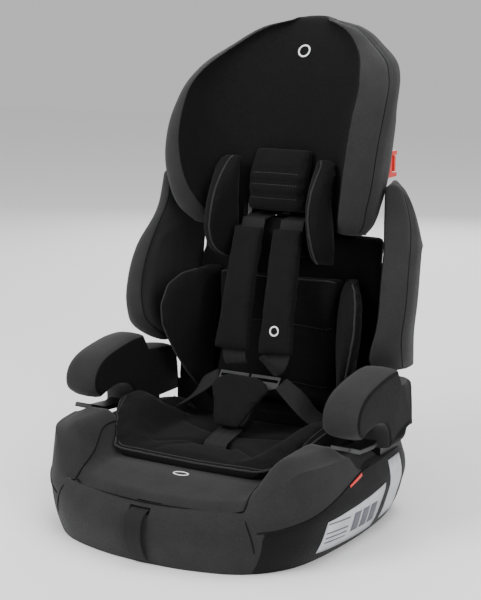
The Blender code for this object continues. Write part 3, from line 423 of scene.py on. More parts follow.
# ---------------------------------------------------------------- curves and meshes
def smooth_step(t):
    t = np.clip(t, 0.0, 1.0)
    return t * t * (3 - 2 * t)


def value_at(curve, z):
    """The curve's value at height z, with a smooth cubic through its points."""
    zs = np.array([p[0] for p in curve])
    vs = np.array([p[1] for p in curve])
    slopes = np.gradient(vs, zs)
    z = min(max(z, zs[0]), zs[-1])
    i = min(max(int(np.searchsorted(zs, z)) - 1, 0), len(zs) - 2)
    h = zs[i + 1] - zs[i]
    t = (z - zs[i]) / h
    a, b = 2 * t**3 - 3 * t**2 + 1, t**3 - 2 * t**2 + t
    return a * vs[i] + b * h * slopes[i] + (1 - a) * vs[i + 1] + (t**3 - t**2) * h * slopes[i + 1]


def smooth_path(points, count):
    """count points evenly along a Catmull-Rom curve through the given points."""
    p = [np.array(q, float) for q in points]
    p = [2 * p[0] - p[1], *p, 2 * p[-1] - p[-2]]
    dense = []
    for i in range(1, len(p) - 2):
        for t in np.linspace(0, 1, 20, endpoint=False):
            dense.append(0.5 * (2 * p[i] + (p[i + 1] - p[i - 1]) * t
                                + (2 * p[i - 1] - 5 * p[i] + 4 * p[i + 1] - p[i + 2]) * t**2
                                + (3 * p[i] - p[i - 1] - 3 * p[i + 1] + p[i + 2]) * t**3))
    dense.append(p[-2])
    return even_points(dense, count)


def even_points(points, count):
    p = np.array(points, float)
    along = np.concatenate([[0], np.cumsum(np.linalg.norm(np.diff(p, axis=0), axis=1))])
    at = np.linspace(0, along[-1], count)
    return np.stack([np.interp(at, along, p[:, k]) for k in range(p.shape[1])], axis=1)


def mesh_from(name, vertices, faces):
    mesh = bpy.data.meshes.new(name)
    mesh.from_pydata([tuple(float(c) for c in v) for v in vertices], [], faces)
    return mesh


def piece_from(name, mesh, mats, weld=False):
    """A smooth-shaded object with outward normals, and with doubled vertices joined if weld."""
    for mat in mats:
        mesh.materials.append(mat)
    form = bmesh.new()
    form.from_mesh(mesh)
    if weld:
        bmesh.ops.remove_doubles(form, verts=form.verts, dist=1e-6)
    bmesh.ops.recalc_face_normals(form, faces=form.faces)
    form.to_mesh(mesh)
    form.free()
    mesh.shade_smooth()
    piece = bpy.data.objects.new(name, mesh)
    bpy.context.scene.collection.objects.link(piece)
    return piece


def new_piece(name, vertices, faces, mat):
    return piece_from(name, mesh_from(name, vertices, faces), [mat], weld=True)


def loft(name, rings, *mats, tone=None):
    """Closed body through closed rings. tone(ring, point) gives a face's material index."""
    n = len(rings[0])
    vertices = [p for ring in rings for p in ring]
    faces = []
    tones = []
    for i in range(len(rings) - 1):
        for k in range(n):
            a, b = i * n + k, i * n + (k + 1) % n
            faces.append([a, b, b + n, a + n])
            tones.append(tone(i, k) if tone else 0)
    faces += [list(range(n))[::-1], [(len(rings) - 1) * n + k for k in range(n)]]
    tones += [tone(0, 0) if tone else 0, tone(len(rings) - 2, 0) if tone else 0]
    mesh = mesh_from(name, vertices, faces)
    mesh.polygons.foreach_set("material_index", tones)
    return piece_from(name, mesh, mats)


def apply_modifiers(piece):
    graph = bpy.context.evaluated_depsgraph_get()
    mesh = bpy.data.meshes.new_from_object(piece.evaluated_get(graph), depsgraph=graph)
    piece.modifiers.clear()
    piece.data = mesh


PRESSURE, CLOTH_FRAMES = 4.0, 20


def inflate(piece, cap, voxel):
    """Puffs a padded piece up like stuffed cloth: remesh, cloth with pressure, cap the travel, apply."""
    remesh = piece.modifiers.new("remesh", "REMESH")
    remesh.mode, remesh.voxel_size, remesh.use_smooth_shade = "VOXEL", voxel, True
    apply_modifiers(piece)
    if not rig.quick():
        start = np.array([v.co for v in piece.data.vertices])
        cloth = piece.modifiers.new("cloth", "CLOTH")
        settings = cloth.settings
        settings.use_pressure, settings.uniform_pressure_force = True, PRESSURE
        settings.quality, settings.mass = 4, 0.3
        settings.tension_stiffness = settings.compression_stiffness = 12
        settings.effector_weights.gravity = 0.0
        cloth.point_cache.frame_end = CLOTH_FRAMES
        scene = bpy.context.scene
        for f in range(1, CLOTH_FRAMES + 1):
            scene.frame_set(f)
        apply_modifiers(piece)
        scene.frame_set(1)
        co = np.array([v.co for v in piece.data.vertices])
        move = co - start
        far = np.linalg.norm(move, axis=1, keepdims=True)
        co = start + move * np.minimum(1.0, cap / np.maximum(far, 1e-9))
        piece.data.vertices.foreach_set("co", co.ravel())
        piece.data.update()
    smooth = piece.modifiers.new("smooth", "SMOOTH")
    smooth.factor, smooth.iterations = 0.5, 4
    apply_modifiers(piece)
    fine = piece.modifiers.new("subdivision", "SUBSURF")
    fine.levels = fine.render_levels = 1
    apply_modifiers(piece)
    piece.data.shade_smooth()


def surface_tree(piece):
    form = bmesh.new()
    form.from_mesh(piece.data)
    tree = BVHTree.FromBMesh(form)
    form.free()
    return tree


def project(tree, points, lift=0.0):
    """Points moved on to the surface, then lifted off it along its normal; with the normals."""
    places, normals = [], []
    for p in points:
        place, normal, _, _ = tree.find_nearest(Vector(p))
        places.append(place + normal * lift)
        normals.append(normal)
    return places, normals


def groove(piece, path, depth, width):
    """Presses a sewn channel into the piece along a path of 3D points."""
    dense = even_points(path, max(8, int(path_length(path) / 0.0012)))
    tree = KDTree(len(dense))
    for i, p in enumerate(dense):
        tree.insert(Vector(p), i)
    tree.balance()
    mesh = piece.data
    normals = [v.normal.copy() for v in mesh.vertices]
    for v, n in zip(mesh.vertices, normals):
        _, _, far = tree.find(v.co)
        if far < 3 * width:
            v.co -= n * depth * math.exp(-(far / width) ** 2)
    mesh.update()


def path_length(path):
    p = np.array([tuple(q) for q in path], float)
    return float(np.linalg.norm(np.diff(p, axis=0), axis=1).sum())


def tube(name, points, radius, mat, sides=8, squash=1.0, normals=None):
    """A cord through 3D points, with rounded ends."""
    p = [Vector(q) for q in points]
    vertices, faces = [], []
    up = None
    for i, q in enumerate(p):
        along = (p[min(i + 1, len(p) - 1)] - p[max(i - 1, 0)]).normalized()
        if normals is not None:
            up = normals[i]
        elif up is None:
            up = Vector((0, 0, 1)) if abs(along.z) < 0.9 else Vector((1, 0, 0))
        side = along.cross(up).normalized()
        up = side.cross(along).normalized()
        r = radius * (0.55 if i in (0, len(p) - 1) else 1.0)
        for k in range(sides):
            a = 2 * math.pi * k / sides
            vertices.append(q + side * r * math.cos(a) + up * r * squash * math.sin(a))
    for i in range(len(p) - 1):
        for k in range(sides):
            a, b = i * sides + k, i * sides + (k + 1) % sides
            faces.append([a, b, b + sides, a + sides])
    faces += [list(range(sides))[::-1], [(len(p) - 1) * sides + k for k in range(sides)]]
    return new_piece(name, vertices, faces, mat)


SEAMS = []


def seam(name, piece, path, radius=0.0008, depth=0.0014, width=0.0030, lift=0.0, mat="seam", step=0.004):
    """A sewn seam: a soft valley in the piece and a fine cord in it, which goes where the piece goes."""
    groove(piece, path, depth, width)
    dense = even_points(path, max(4, int(path_length(path) / step)))
    tree = surface_tree(piece)
    places, normals = project(tree, dense, lift)
    line = np.array([tuple(q) for q in places])
    for _ in range(3):
        line[1:-1] = (line[:-2] + 2 * line[1:-1] + line[2:]) / 4
    cord = tube(name, [Vector(q) for q in line], radius, MAT[mat], sides=6, normals=normals)
    SEAMS.append((cord, piece))


def stitching(name, piece, path, pitch=0.0042, length=0.0024, radius=0.00042):
    """A row of lockstitches along a path on a piece, as one object."""
    total = path_length(path)
    count = max(2, int(total / pitch))
    dense = even_points(path, count * 2 + 1)
    tree = surface_tree(piece)
    places, normals = project(tree, dense, 0.0004)
    vertices, faces = [], []
    for i in range(0, count * 2 - 1, 2):
        a, b, up = places[i], places[i + 1], normals[i]
        middle = (a + b) / 2
        along = (b - a).normalized()
        side = along.cross(up).normalized()
        base = len(vertices)
        for shift, r in ((-0.5, 0.4), (-0.3, 1.0), (0.3, 1.0), (0.5, 0.4)):
            centre = middle + along * length * shift
            for k in range(4):
                t = math.pi / 2 * k + math.pi / 4
                vertices.append(centre + (side * math.cos(t) + up * math.sin(t)) * radius * r)
        for j in range(3):
            for k in range(4):
                q = base + j * 4
                faces.append([q + k, q + (k + 1) % 4, q + 4 + (k + 1) % 4, q + 4 + k])
        faces += [[base + k for k in range(4)][::-1], [base + 12 + k for k in range(4)]]
    SEAMS.append((new_piece(name, vertices, faces, MAT["stitch"]), piece))


def ribbon(name, points, widths, mat, across=(1, 0, 0), thick=0.0018):
    """Flat webbing with rolled edges and its own UVs: U in metres across, V in metres along."""
    points = [Vector(p) for p in points]
    if not isinstance(across[0], (tuple, list, Vector, np.ndarray)):
        across = [across] * len(points)
    if not isinstance(widths, (tuple, list, np.ndarray)):
        widths = [widths] * len(points)
    profile = [(-0.5, 0.0), (-0.485, 0.42), (-0.40, 0.5), (0.0, 0.5), (0.40, 0.5), (0.485, 0.42), (0.5, 0.0),
               (0.485, -0.42), (0.40, -0.5), (0.0, -0.5), (-0.40, -0.5), (-0.485, -0.42)]
    rings, lengths = [], [0.0]
    for i, p in enumerate(points):
        along = (points[min(i + 1, len(points) - 1)] - points[max(i - 1, 0)]).normalized()
        side = Vector(across[i])
        side = (side - along * side.dot(along)).normalized()
        face = along.cross(side)
        rings.append([p + side * widths[i] * u + face * thick * w for u, w in profile])
        if i:
            lengths.append(lengths[-1] + (p - points[i - 1]).length)
    piece = loft(name, rings, MAT[mat])
    n = len(profile)
    layer = piece.data.uv_layers.new(name="strap")
    for loop in piece.data.loops:
        ring, k = divmod(loop.vertex_index, n)
        layer.data[loop.index].uv = (profile[k][0] * widths[ring], lengths[ring])
    return piece


def mirror(points):
    return [(-p[0], *p[1:]) for p in points]


def column_y(z):
    return COLUMN_Y + z * math.tan(LEAN)


def lean_point(x, y, s):
    """A point y behind the backrest column's front plane and s up its lean."""
    across, up = math.cos(LEAN), math.sin(LEAN)
    return Vector((x, COLUMN_Y + y * across + s * up, s * across - y * up))


def box_cutter(low, high):
    x0, y0, z0 = low
    x1, y1, z1 = high
    corners = [(x0, y0), (x1, y0), (x1, y1), (x0, y1)]
    return loft("cutter", [[(x, y, z0) for x, y in corners], [(x, y, z1) for x, y in corners]])


def carve(piece, *cutters):
    for cutter in cutters:
        step = piece.modifiers.new("cut", "BOOLEAN")
        step.operation, step.object, step.solver = "DIFFERENCE", cutter, "EXACT"
    apply_modifiers(piece)
    for cutter in cutters:
        bpy.data.objects.remove(cutter)
    piece.data.shade_smooth()
    piece.data.set_sharp_from_angle(angle=math.radians(50))


def declare(piece, node, slot, fill, attach):
    """Says what the piece stands for, and attaches it and its seams. attach(piece) rides or blends."""
    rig.replaces(piece, node)
    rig.slot(piece, slot)
    if fill is not None:
        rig.padded(piece, fill=fill)
    attach(piece)
    for cord, owner in list(SEAMS):
        if owner == piece:
            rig.slot(cord, slot)
            attach(cord)
            SEAMS.remove((cord, owner))


def finish_piece(piece, body, node, slot, fill=None):
    declare(piece, node, slot, fill, lambda part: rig.ride(part, body))


SIDES = {"left": -1, "right": 1}

# ---------------------------------------------------------------- headrest cover
HEAD_RIM_IN_X = [(0.374, 0.094), (0.400, 0.105), (0.436, 0.119), (0.477, 0.127), (0.539, 0.131), (0.585, 0.127),
                 (0.625, 0.100), (0.650, 0.066), (0.668, 0.022)]
HEAD_RIM_IN_Y = [(0.374, 0.156), (0.400, 0.133), (0.436, 0.111), (0.477, 0.103), (0.519, 0.108), (0.558, 0.126),
                 (0.596, 0.158), (0.625, 0.200), (0.650, 0.232), (0.668, 0.256)]
HEAD_RIM_OUT_X = [(0.374, 0.128), (0.389, 0.142), (0.421, 0.156), (0.456, 0.164), (0.500, 0.167), (0.545, 0.165),
                  (0.588, 0.154), (0.611, 0.138), (0.630, 0.112), (0.650, 0.080), (0.668, 0.032)]
HEAD_RIM_OUT_Y = [(0.374, 0.152), (0.400, 0.130), (0.452, 0.121), (0.486, 0.125), (0.519, 0.137), (0.560, 0.165),
                  (0.600, 0.204), (0.630, 0.236), (0.668, 0.265)]
HEAD_BACK_Y = [(0.374, 0.176), (0.420, 0.180), (0.490, 0.191), (0.550, 0.208), (0.600, 0.226), (0.640, 0.246),
               (0.668, 0.268)]
HEAD_REAR_Y = [(0.374, 0.196), (0.490, 0.215), (0.530, 0.2205), (0.555, 0.2245), (0.575, 0.238), (0.595, 0.260),
               (0.620, 0.279), (0.650, 0.289), (0.668, 0.284)]
FOAM_LOW, FOAM_HIGH = 0.3805, 0.630
BOWL, BAND, WRAP, HIDDEN = 26, 9, 10, 17
WRAP_SHARE = 0.62                 # the cover wraps this much of the outer face before it turns in


def head_arcs(z, count=23):
    """Inner and outer face of the headrest at height z, as the frame's solids have them."""
    xi, yi = value_at(HEAD_RIM_IN_X, z), value_at(HEAD_RIM_IN_Y, z)
    xo, yo = value_at(HEAD_RIM_OUT_X, z), value_at(HEAD_RIM_OUT_Y, z)
    back, rear = value_at(HEAD_BACK_Y, z), value_at(HEAD_REAR_Y, z)
    inner, outer = [], []
    for t in np.linspace(-math.pi / 2, math.pi / 2, 181):
        s, c = math.sin(t), max(0.0, math.cos(t))
        inner.append((xi * s, yi + (back - yi) * c**0.9))
        outer.append((xo * math.copysign(abs(s) ** 0.5, s), yo + (rear - yo) * c**0.5))
    return even_points(inner, count), even_points(outer, count), outer


def offset_curve(points, amount):
    """The 2D curve moved to its left by amount, which may be one number for each point."""
    p = np.array(points, float)
    d = np.gradient(p, axis=0)
    d /= np.maximum(np.linalg.norm(d, axis=1, keepdims=True), 1e-9)
    return p + np.stack([-d[:, 1], d[:, 0]], axis=1) * np.reshape(amount, (-1, 1))


def band_curve(a, b, count, bulge):
    """From a to b with an outward belly."""
    a, b = np.array(a), np.array(b)
    d = b - a
    n = np.array((d[1], -d[0])) / max(np.linalg.norm(d), 1e-9)
    t = np.linspace(0, 1, count)[:, None]
    return a + d * t + n * bulge * np.sin(np.pi * t) ** 0.8


def head_half_ring(z, shrink):
    """Right half of the cover's ring: bowl, band, side wrap, then back out of sight to the middle."""
    inner, outer, dense = head_arcs(z)
    solid_level = z < FOAM_LOW or z > FOAM_HIGH
    bowl = even_points(even_points(inner, 181)[90:], BOWL)
    band = band_curve(inner[-1], outer[-1], BAND, 0.0065)
    side = np.array(dense[90:])[::-1]
    length = np.linalg.norm(np.diff(side, axis=0), axis=1).cumsum()
    split = int(np.searchsorted(length, length[-1] * (1 - WRAP_SHARE))) + 2
    wrap = even_points(side[:split], WRAP)
    fullness = 0.0024 + 0.0016 * np.sin(np.linspace(0, np.pi, WRAP))
    wrap = offset_curve(wrap, -fullness)
    wrap[0] = outer[-1]
    if solid_level:
        hidden = even_points(side[split:], HIDDEN)
        hidden = offset_curve(hidden, -np.linspace(0.0024, 0.0010, HIDDEN))
    else:
        back = even_points(side[:split][::-1], 40)
        keep = back[:max(3, int(len(back) * (1 - 0.030 / max(path_length(side[:split]), 0.031))))]
        under = offset_curve(even_points(keep, 6), 0.0007)
        middle = inner * 0.61 + outer * 0.39
        hidden = np.concatenate([under, middle[11:22][::-1]])
    ring = np.concatenate([bowl, band[1:], wrap[1:], hidden])
    if shrink:
        spine_x = value_at(HEAD_RIM_IN_X, z) * 0.5 + value_at(HEAD_RIM_OUT_X, z) * 0.5
        rim = ring[:, 0] > spine_x * 0.55
        middle_line = np.interp(ring[:, 0], bowl[:, 0], bowl[:, 1]) + 0.012
        target = np.stack([ring[:, 0] * (1 - 0.10 * shrink),
                           ring[:, 1] * (1 - shrink) + middle_line * shrink], axis=1)
        target[rim, 0] = ring[rim, 0] * (1 - shrink * 0.5) + spine_x * shrink * 0.5
        ring = target
    return ring


def domed(x, y, z):
    """Lowers the crown a little away from its middle."""
    return (x, y, z - 0.0035 * min((x / 0.030) ** 2, 1.3) * smooth_step((z - 0.655) / 0.016))


def crown_rise(z):
    return 0.0030 * smooth_step((z - 0.63) / 0.038)


def make_headrest_cover():
    levels = [0.374, 0.3755, 0.378, 0.3803, 0.3807]
    levels += list(np.arange(0.386, 0.627, 0.0052)) + [0.6298, 0.6303]
    levels += list(np.arange(0.634, 0.662, 0.0032)) + [0.6645, 0.667, 0.6685]
    rings = []
    for z in levels:
        low_end = max(0.0, 1 - (z - 0.374) / 0.005) ** 2 * 0.75
        high_end = max(0.0, 1 - (0.6685 - z) / 0.006) ** 2 * 0.8
        half = head_half_ring(z, max(low_end, high_end))
        rise = z + crown_rise(z)
        right = [(x, y, rise) for x, y in half]
        right[0] = (0.0, right[0][1], rise)
        right[-1] = (0.0, right[-1][1], rise)
        rings.append(right + mirror(right[1:-1])[::-1])
    rings = [[domed(*point) for point in ring] for ring in rings]
    n = len(rings[0])

    def tone(i, k):
        return 1 if k < BOWL - 1 or k >= n - (BOWL - 1) else 0

    cover = loft("headrest_upholstery", rings, MAT["grey"], MAT["black"], tone=tone)
    carve(cover, box_cutter((-0.062, 0.10, 0.36), (0.062, 0.30, 0.4085)))
    for side, sign in SIDES.items():
        for label, xs, ys in (("inner", HEAD_RIM_IN_X, HEAD_RIM_IN_Y),
                              ("outer", HEAD_RIM_OUT_X, HEAD_RIM_OUT_Y)):
            path = [(sign * value_at(xs, z), value_at(ys, z), z + crown_rise(z))
                    for z in np.linspace(0.380, 0.664, 60)]
            seam(f"headrest_seam_{label}_{side}", cover, path, radius=0.0010, depth=0.0016, width=0.0034,
                 lift=-0.0002)
    place_mark("headrest_mark", cover, (0.0, 0.236, 0.622), (1, 0, 0), (0, 0.35, 0.94),
               (0.0085, 0.0085, 0.0013))
    finish_piece(cover, "headrest", "headrest_cover", "charcoal_fabric", 0.6)


# ---------------------------------------------------------------- torso wings
WING_IN_X = [(0.198, 0.163), (0.217, 0.168), (0.235, 0.178), (0.265, 0.186), (0.325, 0.186), (0.370, 0.180),
             (0.410, 0.172), (0.450, 0.171)]
WING_IN_Y = [(0.198, 0.128), (0.217, 0.106), (0.235, 0.090), (0.265, 0.089), (0.325, 0.101), (0.370, 0.122),
             (0.410, 0.140), (0.450, 0.143)]
WING_OUT_X = [(0.198, 0.206), (0.217, 0.217), (0.250, 0.221), (0.295, 0.223), (0.340, 0.218), (0.389, 0.205),
              (0.425, 0.198), (0.450, 0.188)]
WING_OUT_Y = [(0.198, 0.140), (0.217, 0.112), (0.250, 0.098), (0.295, 0.106), (0.340, 0.124), (0.389, 0.160),
              (0.425, 0.166), (0.450, 0.164)]
WING_ROOT_X = 0.148


def wing_arcs(z, count=9):
    root = column_y(z)
    inner = [(WING_ROOT_X, root - 0.004), (WING_ROOT_X + 0.006, root - 0.022),
             (value_at(WING_IN_X, z), value_at(WING_IN_Y, z))]
    outer = [(WING_ROOT_X + 0.012, root + 0.0135), (WING_ROOT_X + 0.036, root + 0.010),
             (value_at(WING_OUT_X, z), value_at(WING_OUT_Y, z))]
    return smooth_path(inner, count), smooth_path(outer, count)


WING_TOP, ROUND_FROM = 0.450, 0.360


def wing_ring(z, shrink, sign):
    inner, outer = wing_arcs(z)
    solid_level = z < 0.2041 or z > 0.4439
    face = even_points(inner, 14)
    puff = 0.021 * (1 - smooth_step((z - 0.345) / 0.040)) * smooth_step((z - 0.198) / 0.03)
    face = offset_curve(face, puff * np.sin(np.linspace(0, np.pi, 14)) ** 1.2)
    band = band_curve(inner[-1], outer[-1], 9, 0.0060)
    long_side = even_points(outer[::-1], 60)
    split = 40
    swell = 0.0022 + 0.0100 * np.sin(np.linspace(0, np.pi, 9))
    wrap = offset_curve(even_points(long_side[:split], 9), -swell)
    wrap[0] = outer[-1]
    if solid_level:
        hidden = offset_curve(even_points(long_side[split:], 13), -0.0010)
    else:
        under = offset_curve(even_points(long_side[9:split][::-1], 5), 0.0007)
        middle = inner * 0.56 + outer * 0.44
        hidden = np.concatenate([under, middle[:-1][::-1]])
    ring = np.concatenate([face, band[1:], wrap[1:], hidden])
    if shrink:
        line = even_points((inner + outer) / 2, len(ring))
        for i, p in enumerate(ring):
            near = line[np.argmin(np.linalg.norm(line - p, axis=1))]
            ring[i] = p * (1 - shrink) + near * shrink
    return [(sign * x, y, z) for x, y in ring]


def rounded(x, y, z):
    """Lowers the wing's top towards its rear outer corner, so that the corner is round."""
    reach = 0.866 * abs(x) + 0.5 * y
    top = WING_TOP - 0.045 * min(max((reach - 0.235) / 0.032, 0.0), 1.4) ** 2.2
    share = (z - ROUND_FROM) / (WING_TOP - ROUND_FROM)
    return (x, y, z if z < ROUND_FROM else ROUND_FROM + share * (top - ROUND_FROM))


def round_top(piece):
    for v in piece.data.vertices:
        v.co = rounded(*v.co)
    piece.data.update()


def make_rounded_shell():
    shell = copy_of("backrest_shell", "backrest_tray", MAT["plastic"])
    for v in shell.data.vertices:
        if abs(v.co.x) > 0.13:
            v.co = rounded(*v.co)
    finish_piece(shell, "backrest", "backrest_shell", "black_plastic")


def make_torso_wings():
    levels = [0.198, 0.1992, 0.2015, 0.2039, 0.2044] + list(np.arange(0.208, 0.4430, 0.0055))
    levels += [0.4437, 0.4442, 0.4465, 0.4488, 0.4500]
    for side, sign in SIDES.items():
        rings = []
        for z in levels:
            low_end = max(0.0, 1 - (z - 0.198) / 0.0055) ** 2 * 0.7
            high_end = max(0.0, 1 - (0.450 - z) / 0.0055) ** 2 * 0.7
            rings.append(wing_ring(z, max(low_end, high_end), sign))
        wing = loft(f"torso_wing_{side}", rings, MAT["grey"])
        round_top(wing)
        foam_core = copy_of(f"torso_wing_foam_{side}", f"wing_foam_{side}", MAT["foam"])
        round_top(foam_core)
        finish_piece(foam_core, "backrest", f"torso_wing_foam_{side}", "white_foam")
        for label, xs, ys in (("inner", WING_IN_X, WING_IN_Y), ("outer", WING_OUT_X, WING_OUT_Y)):
            path = [(sign * value_at(xs, z), value_at(ys, z), z) for z in np.linspace(0.202, 0.447, 50)]
            path = [rounded(*p) for p in path]
            seam(f"wing_seam_{label}_{side}", wing, path, radius=0.0009, depth=0.0015, width=0.0032,
                 lift=-0.0002)
        finish_piece(wing, "backrest", f"torso_wing_cover_{side}", "charcoal_fabric", 0.6)


# ---------------------------------------------------------------- base cover
BASE_PLAN = [(0.0, -0.200), (0.060, -0.195), (0.121, -0.178), (0.160, -0.148), (0.184, -0.102), (0.197, -0.020),
             (0.200, 0.060), (0.193, 0.130), (0.172, 0.172), (0.125, 0.183), (0.0, 0.184)]
BASE_SWELL = [(0.0004, 0.000, 0.000), (0.018, 0.010, 0.007), (0.045, 0.019, 0.011), (0.066, 0.024, 0.004),
              (0.079, 0.023, -0.007)]


def base_outline(count=160):
    half = smooth_path(BASE_PLAN, count // 2 + 1)
    points = list(half) + [np.array((-x, y)) for x, y in half[-2:0:-1]]
    closed = points + points[:2]
    normals = []
    for i in range(len(points)):
        step = closed[i + 1] - closed[i - 1] if i else closed[1] - points[-1]
        normals.append(np.array((step[1], -step[0])) / np.linalg.norm(step))
    return np.array(points), np.array(normals)


def base_top(x, y):
    seat = 0.079 + 0.009 * smooth_step((y + 0.19) / 0.09)
    forward = smooth_step((y + 0.185) / 0.065)
    behind = 1 - 0.55 * smooth_step((y + 0.045) / 0.035)
    return seat + 0.050 * smooth_step((abs(x) - 0.112) / 0.048) * forward * behind


def base_rings(inset, drop, foot, shares, levels):
    points, normals = base_outline()
    sideways = [(z, s) for z, s, _ in BASE_SWELL]
    forwards = [(z, f) for z, _, f in BASE_SWELL]
    top = BASE_SWELL[-1]
    rim = points + normals * np.abs(normals) * np.array((top[1], top[2])) - normals * inset
    rings = []
    for share in shares:
        ring = []
        for p in rim * share:
            z = base_top(p[0], p[1]) - drop - 0.010 * smooth_step((share - 0.85) / 0.12)
            ring.append((p[0], p[1], z))
        rings.append(ring)
    lowest, highest = BASE_SWELL[0][0], top[0]
    for height in levels:
        z = foot + (highest - drop - foot) * (height - lowest) / (highest - lowest)
        swell = np.array((value_at(sideways, height), value_at(forwards, height)))
        ring = points + normals * np.abs(normals) * swell - normals * inset
        rings.append([(x, y, z) for x, y in ring])
    return rings


ARM_TOP = [(-0.030, 0.149), (-0.044, 0.160), (-0.0465, 0.176), (-0.038, 0.192), (-0.018, 0.204), (0.012, 0.211),
           (0.050, 0.216), (0.078, 0.216)]
ARM_REAR = [(0.090, 0.194), (0.155, 0.184), (0.166, 0.160), (0.170, 0.116)]
ARM_UNDER = [(0.052, 0.116), (0.050, 0.136), (0.036, 0.152), (0.010, 0.158), (-0.014, 0.155)]
ARM_IN, ARM_OUT = 0.1745, 0.2275
ARM_CORE_OUT, ARM_CORE_REAR = 0.2120, 0.130


def arm_pocket(sign, floor):
    """The space that the armrest's plastic core takes."""
    inset = 0.0056
    outline = [np.array(p) for p in ARM_TOP + ARM_REAR + ARM_UNDER]
    inner = []
    for i, p in enumerate(outline):
        before, after = outline[i - 1], outline[(i + 1) % len(outline)]
        step = (after - before) / np.linalg.norm(after - before)
        inner.append(p + np.array((step[1], -step[0])) * inset)
    rear = ARM_CORE_REAR - inset
    profile = [(min(y, rear), z) for y, z in inner]
    corner = len(ARM_TOP) + len(ARM_REAR) - 1
    profile = profile[:corner] + [(rear, floor), (ARM_UNDER[1][0] + inset, floor)] + profile[corner + 2:]
    ends = (ARM_IN + inset, ARM_CORE_OUT + 0.0006)
    return loft("cutter", [[(sign * x, y, z) for y, z in profile] for x in ends])


FRONT_SEAM_HALF = 0.126
BASE_SEAMS = {                    # points at positive X, how many points the seam gets, radius, depth
    "corner": (((0.126, -0.163, 0.080), (0.139, -0.172, 0.064), (0.147, -0.171, 0.040), (0.145, -0.165, 0.018),
                (0.141, -0.164, 0.002)), 30, 0.0011, 0.0010),
    "bolster": (((0.126, -0.163, 0.080), (0.128, -0.138, 0.090), (0.134, -0.110, 0.102), (0.146, -0.075, 0.120),
                 (0.150, -0.040, 0.118)), 30, 0.0011, 0.0010),
    "flank": (((0.150, -0.168, 0.056), (0.185, -0.150, 0.060), (0.205, -0.120, 0.068), (0.220, -0.070, 0.084),
               (0.222, -0.030, 0.098), (0.215, 0.020, 0.104)), 40, 0.0010, 0.0008)}


def make_base_cover():
    shares = [0.06, 0.2, 0.35, 0.5] + list(np.linspace(0.56, 0.975, 22))
    levels = list(np.linspace(0.079, 0.0004, 22))
    inner_shares = (0.06, 0.35, 0.55, 0.70, 0.80, 0.88, 0.94)
    inner_levels = [z for z, _, _ in BASE_SWELL[::-1]]
    rings = base_rings(0.0, 0.0, 0.0004, shares, levels)
    rings += base_rings(0.0080, 0.0240, 0.0004, inner_shares, inner_levels)[::-1]
    cover = loft("base_upholstery", rings, MAT["grey_zoned"])
    cutters = [box_cutter((-0.150, 0.150, -0.010), (0.150, 0.230, 0.067)),
               box_cutter((-0.0155, -0.230, 0.0645), (0.0155, -0.175, 0.0735)),
               box_cutter((-0.018, -0.188, 0.020), (0.018, -0.168, 0.0735)),
               box_cutter((-0.023, -0.024, 0.030), (0.023, -0.012, 0.16))]
    for sign in SIDES.values():
        x0, x1 = sorted((sign * 0.114, sign * 0.126))
        cutters += [box_cutter((x0, 0.063, 0.030), (x1, 0.107, 0.16)), arm_pocket(sign, 0.050)]
    carve(cover, *cutters)
    front = [(x, -0.1935 + 0.03255 * (x / FRONT_SEAM_HALF) ** 2, 0.0785 + 0.0015 * (x / FRONT_SEAM_HALF) ** 2)
             for x in np.linspace(-FRONT_SEAM_HALF, FRONT_SEAM_HALF, 41)]
    seam("base_seam_front", cover, front, radius=0.0012, depth=0.0010, width=0.0036, lift=0.0004)
    for side, sign in SIDES.items():
        for label, (points, count, radius, depth) in BASE_SEAMS.items():
            path = smooth_path([(sign * x, y, z) for x, y, z in points], count)
            seam(f"base_seam_{label}_{side}", cover, path, radius=radius, depth=depth, lift=0.0004)
    place_mark("seat_mark", cover, (0.0, -0.1025, 0.090), (1, 0, 0), (0, 1, 0.1), (0.0105, 0.0060, 0.0011))
    darken_sides(cover)
    add_labels(cover)
    finish_piece(cover, "base", "base_cover", "charcoal_fabric", 0.7)


def darken_sides(cover):
    """Below the flank seam and behind the corner seam the cover is the black cloth."""
    line = [(-0.172, -0.010), (-0.168, 0.054), (-0.150, 0.060), (-0.120, 0.068), (-0.070, 0.084), (-0.030, 0.098),
            (0.020, 0.104), (0.200, 0.104)]
    ys, zs = [p[0] for p in line], [p[1] for p in line]
    zone = cover.data.attributes.new("zone", "FLOAT", "POINT")
    for v, value in zip(cover.data.vertices, zone.data):
        x, y, z = v.co
        below = np.interp(y, ys, zs) - z
        value.value = min(below, (y + 0.166) * 3.0, (abs(x) - 0.135) * 3.0)


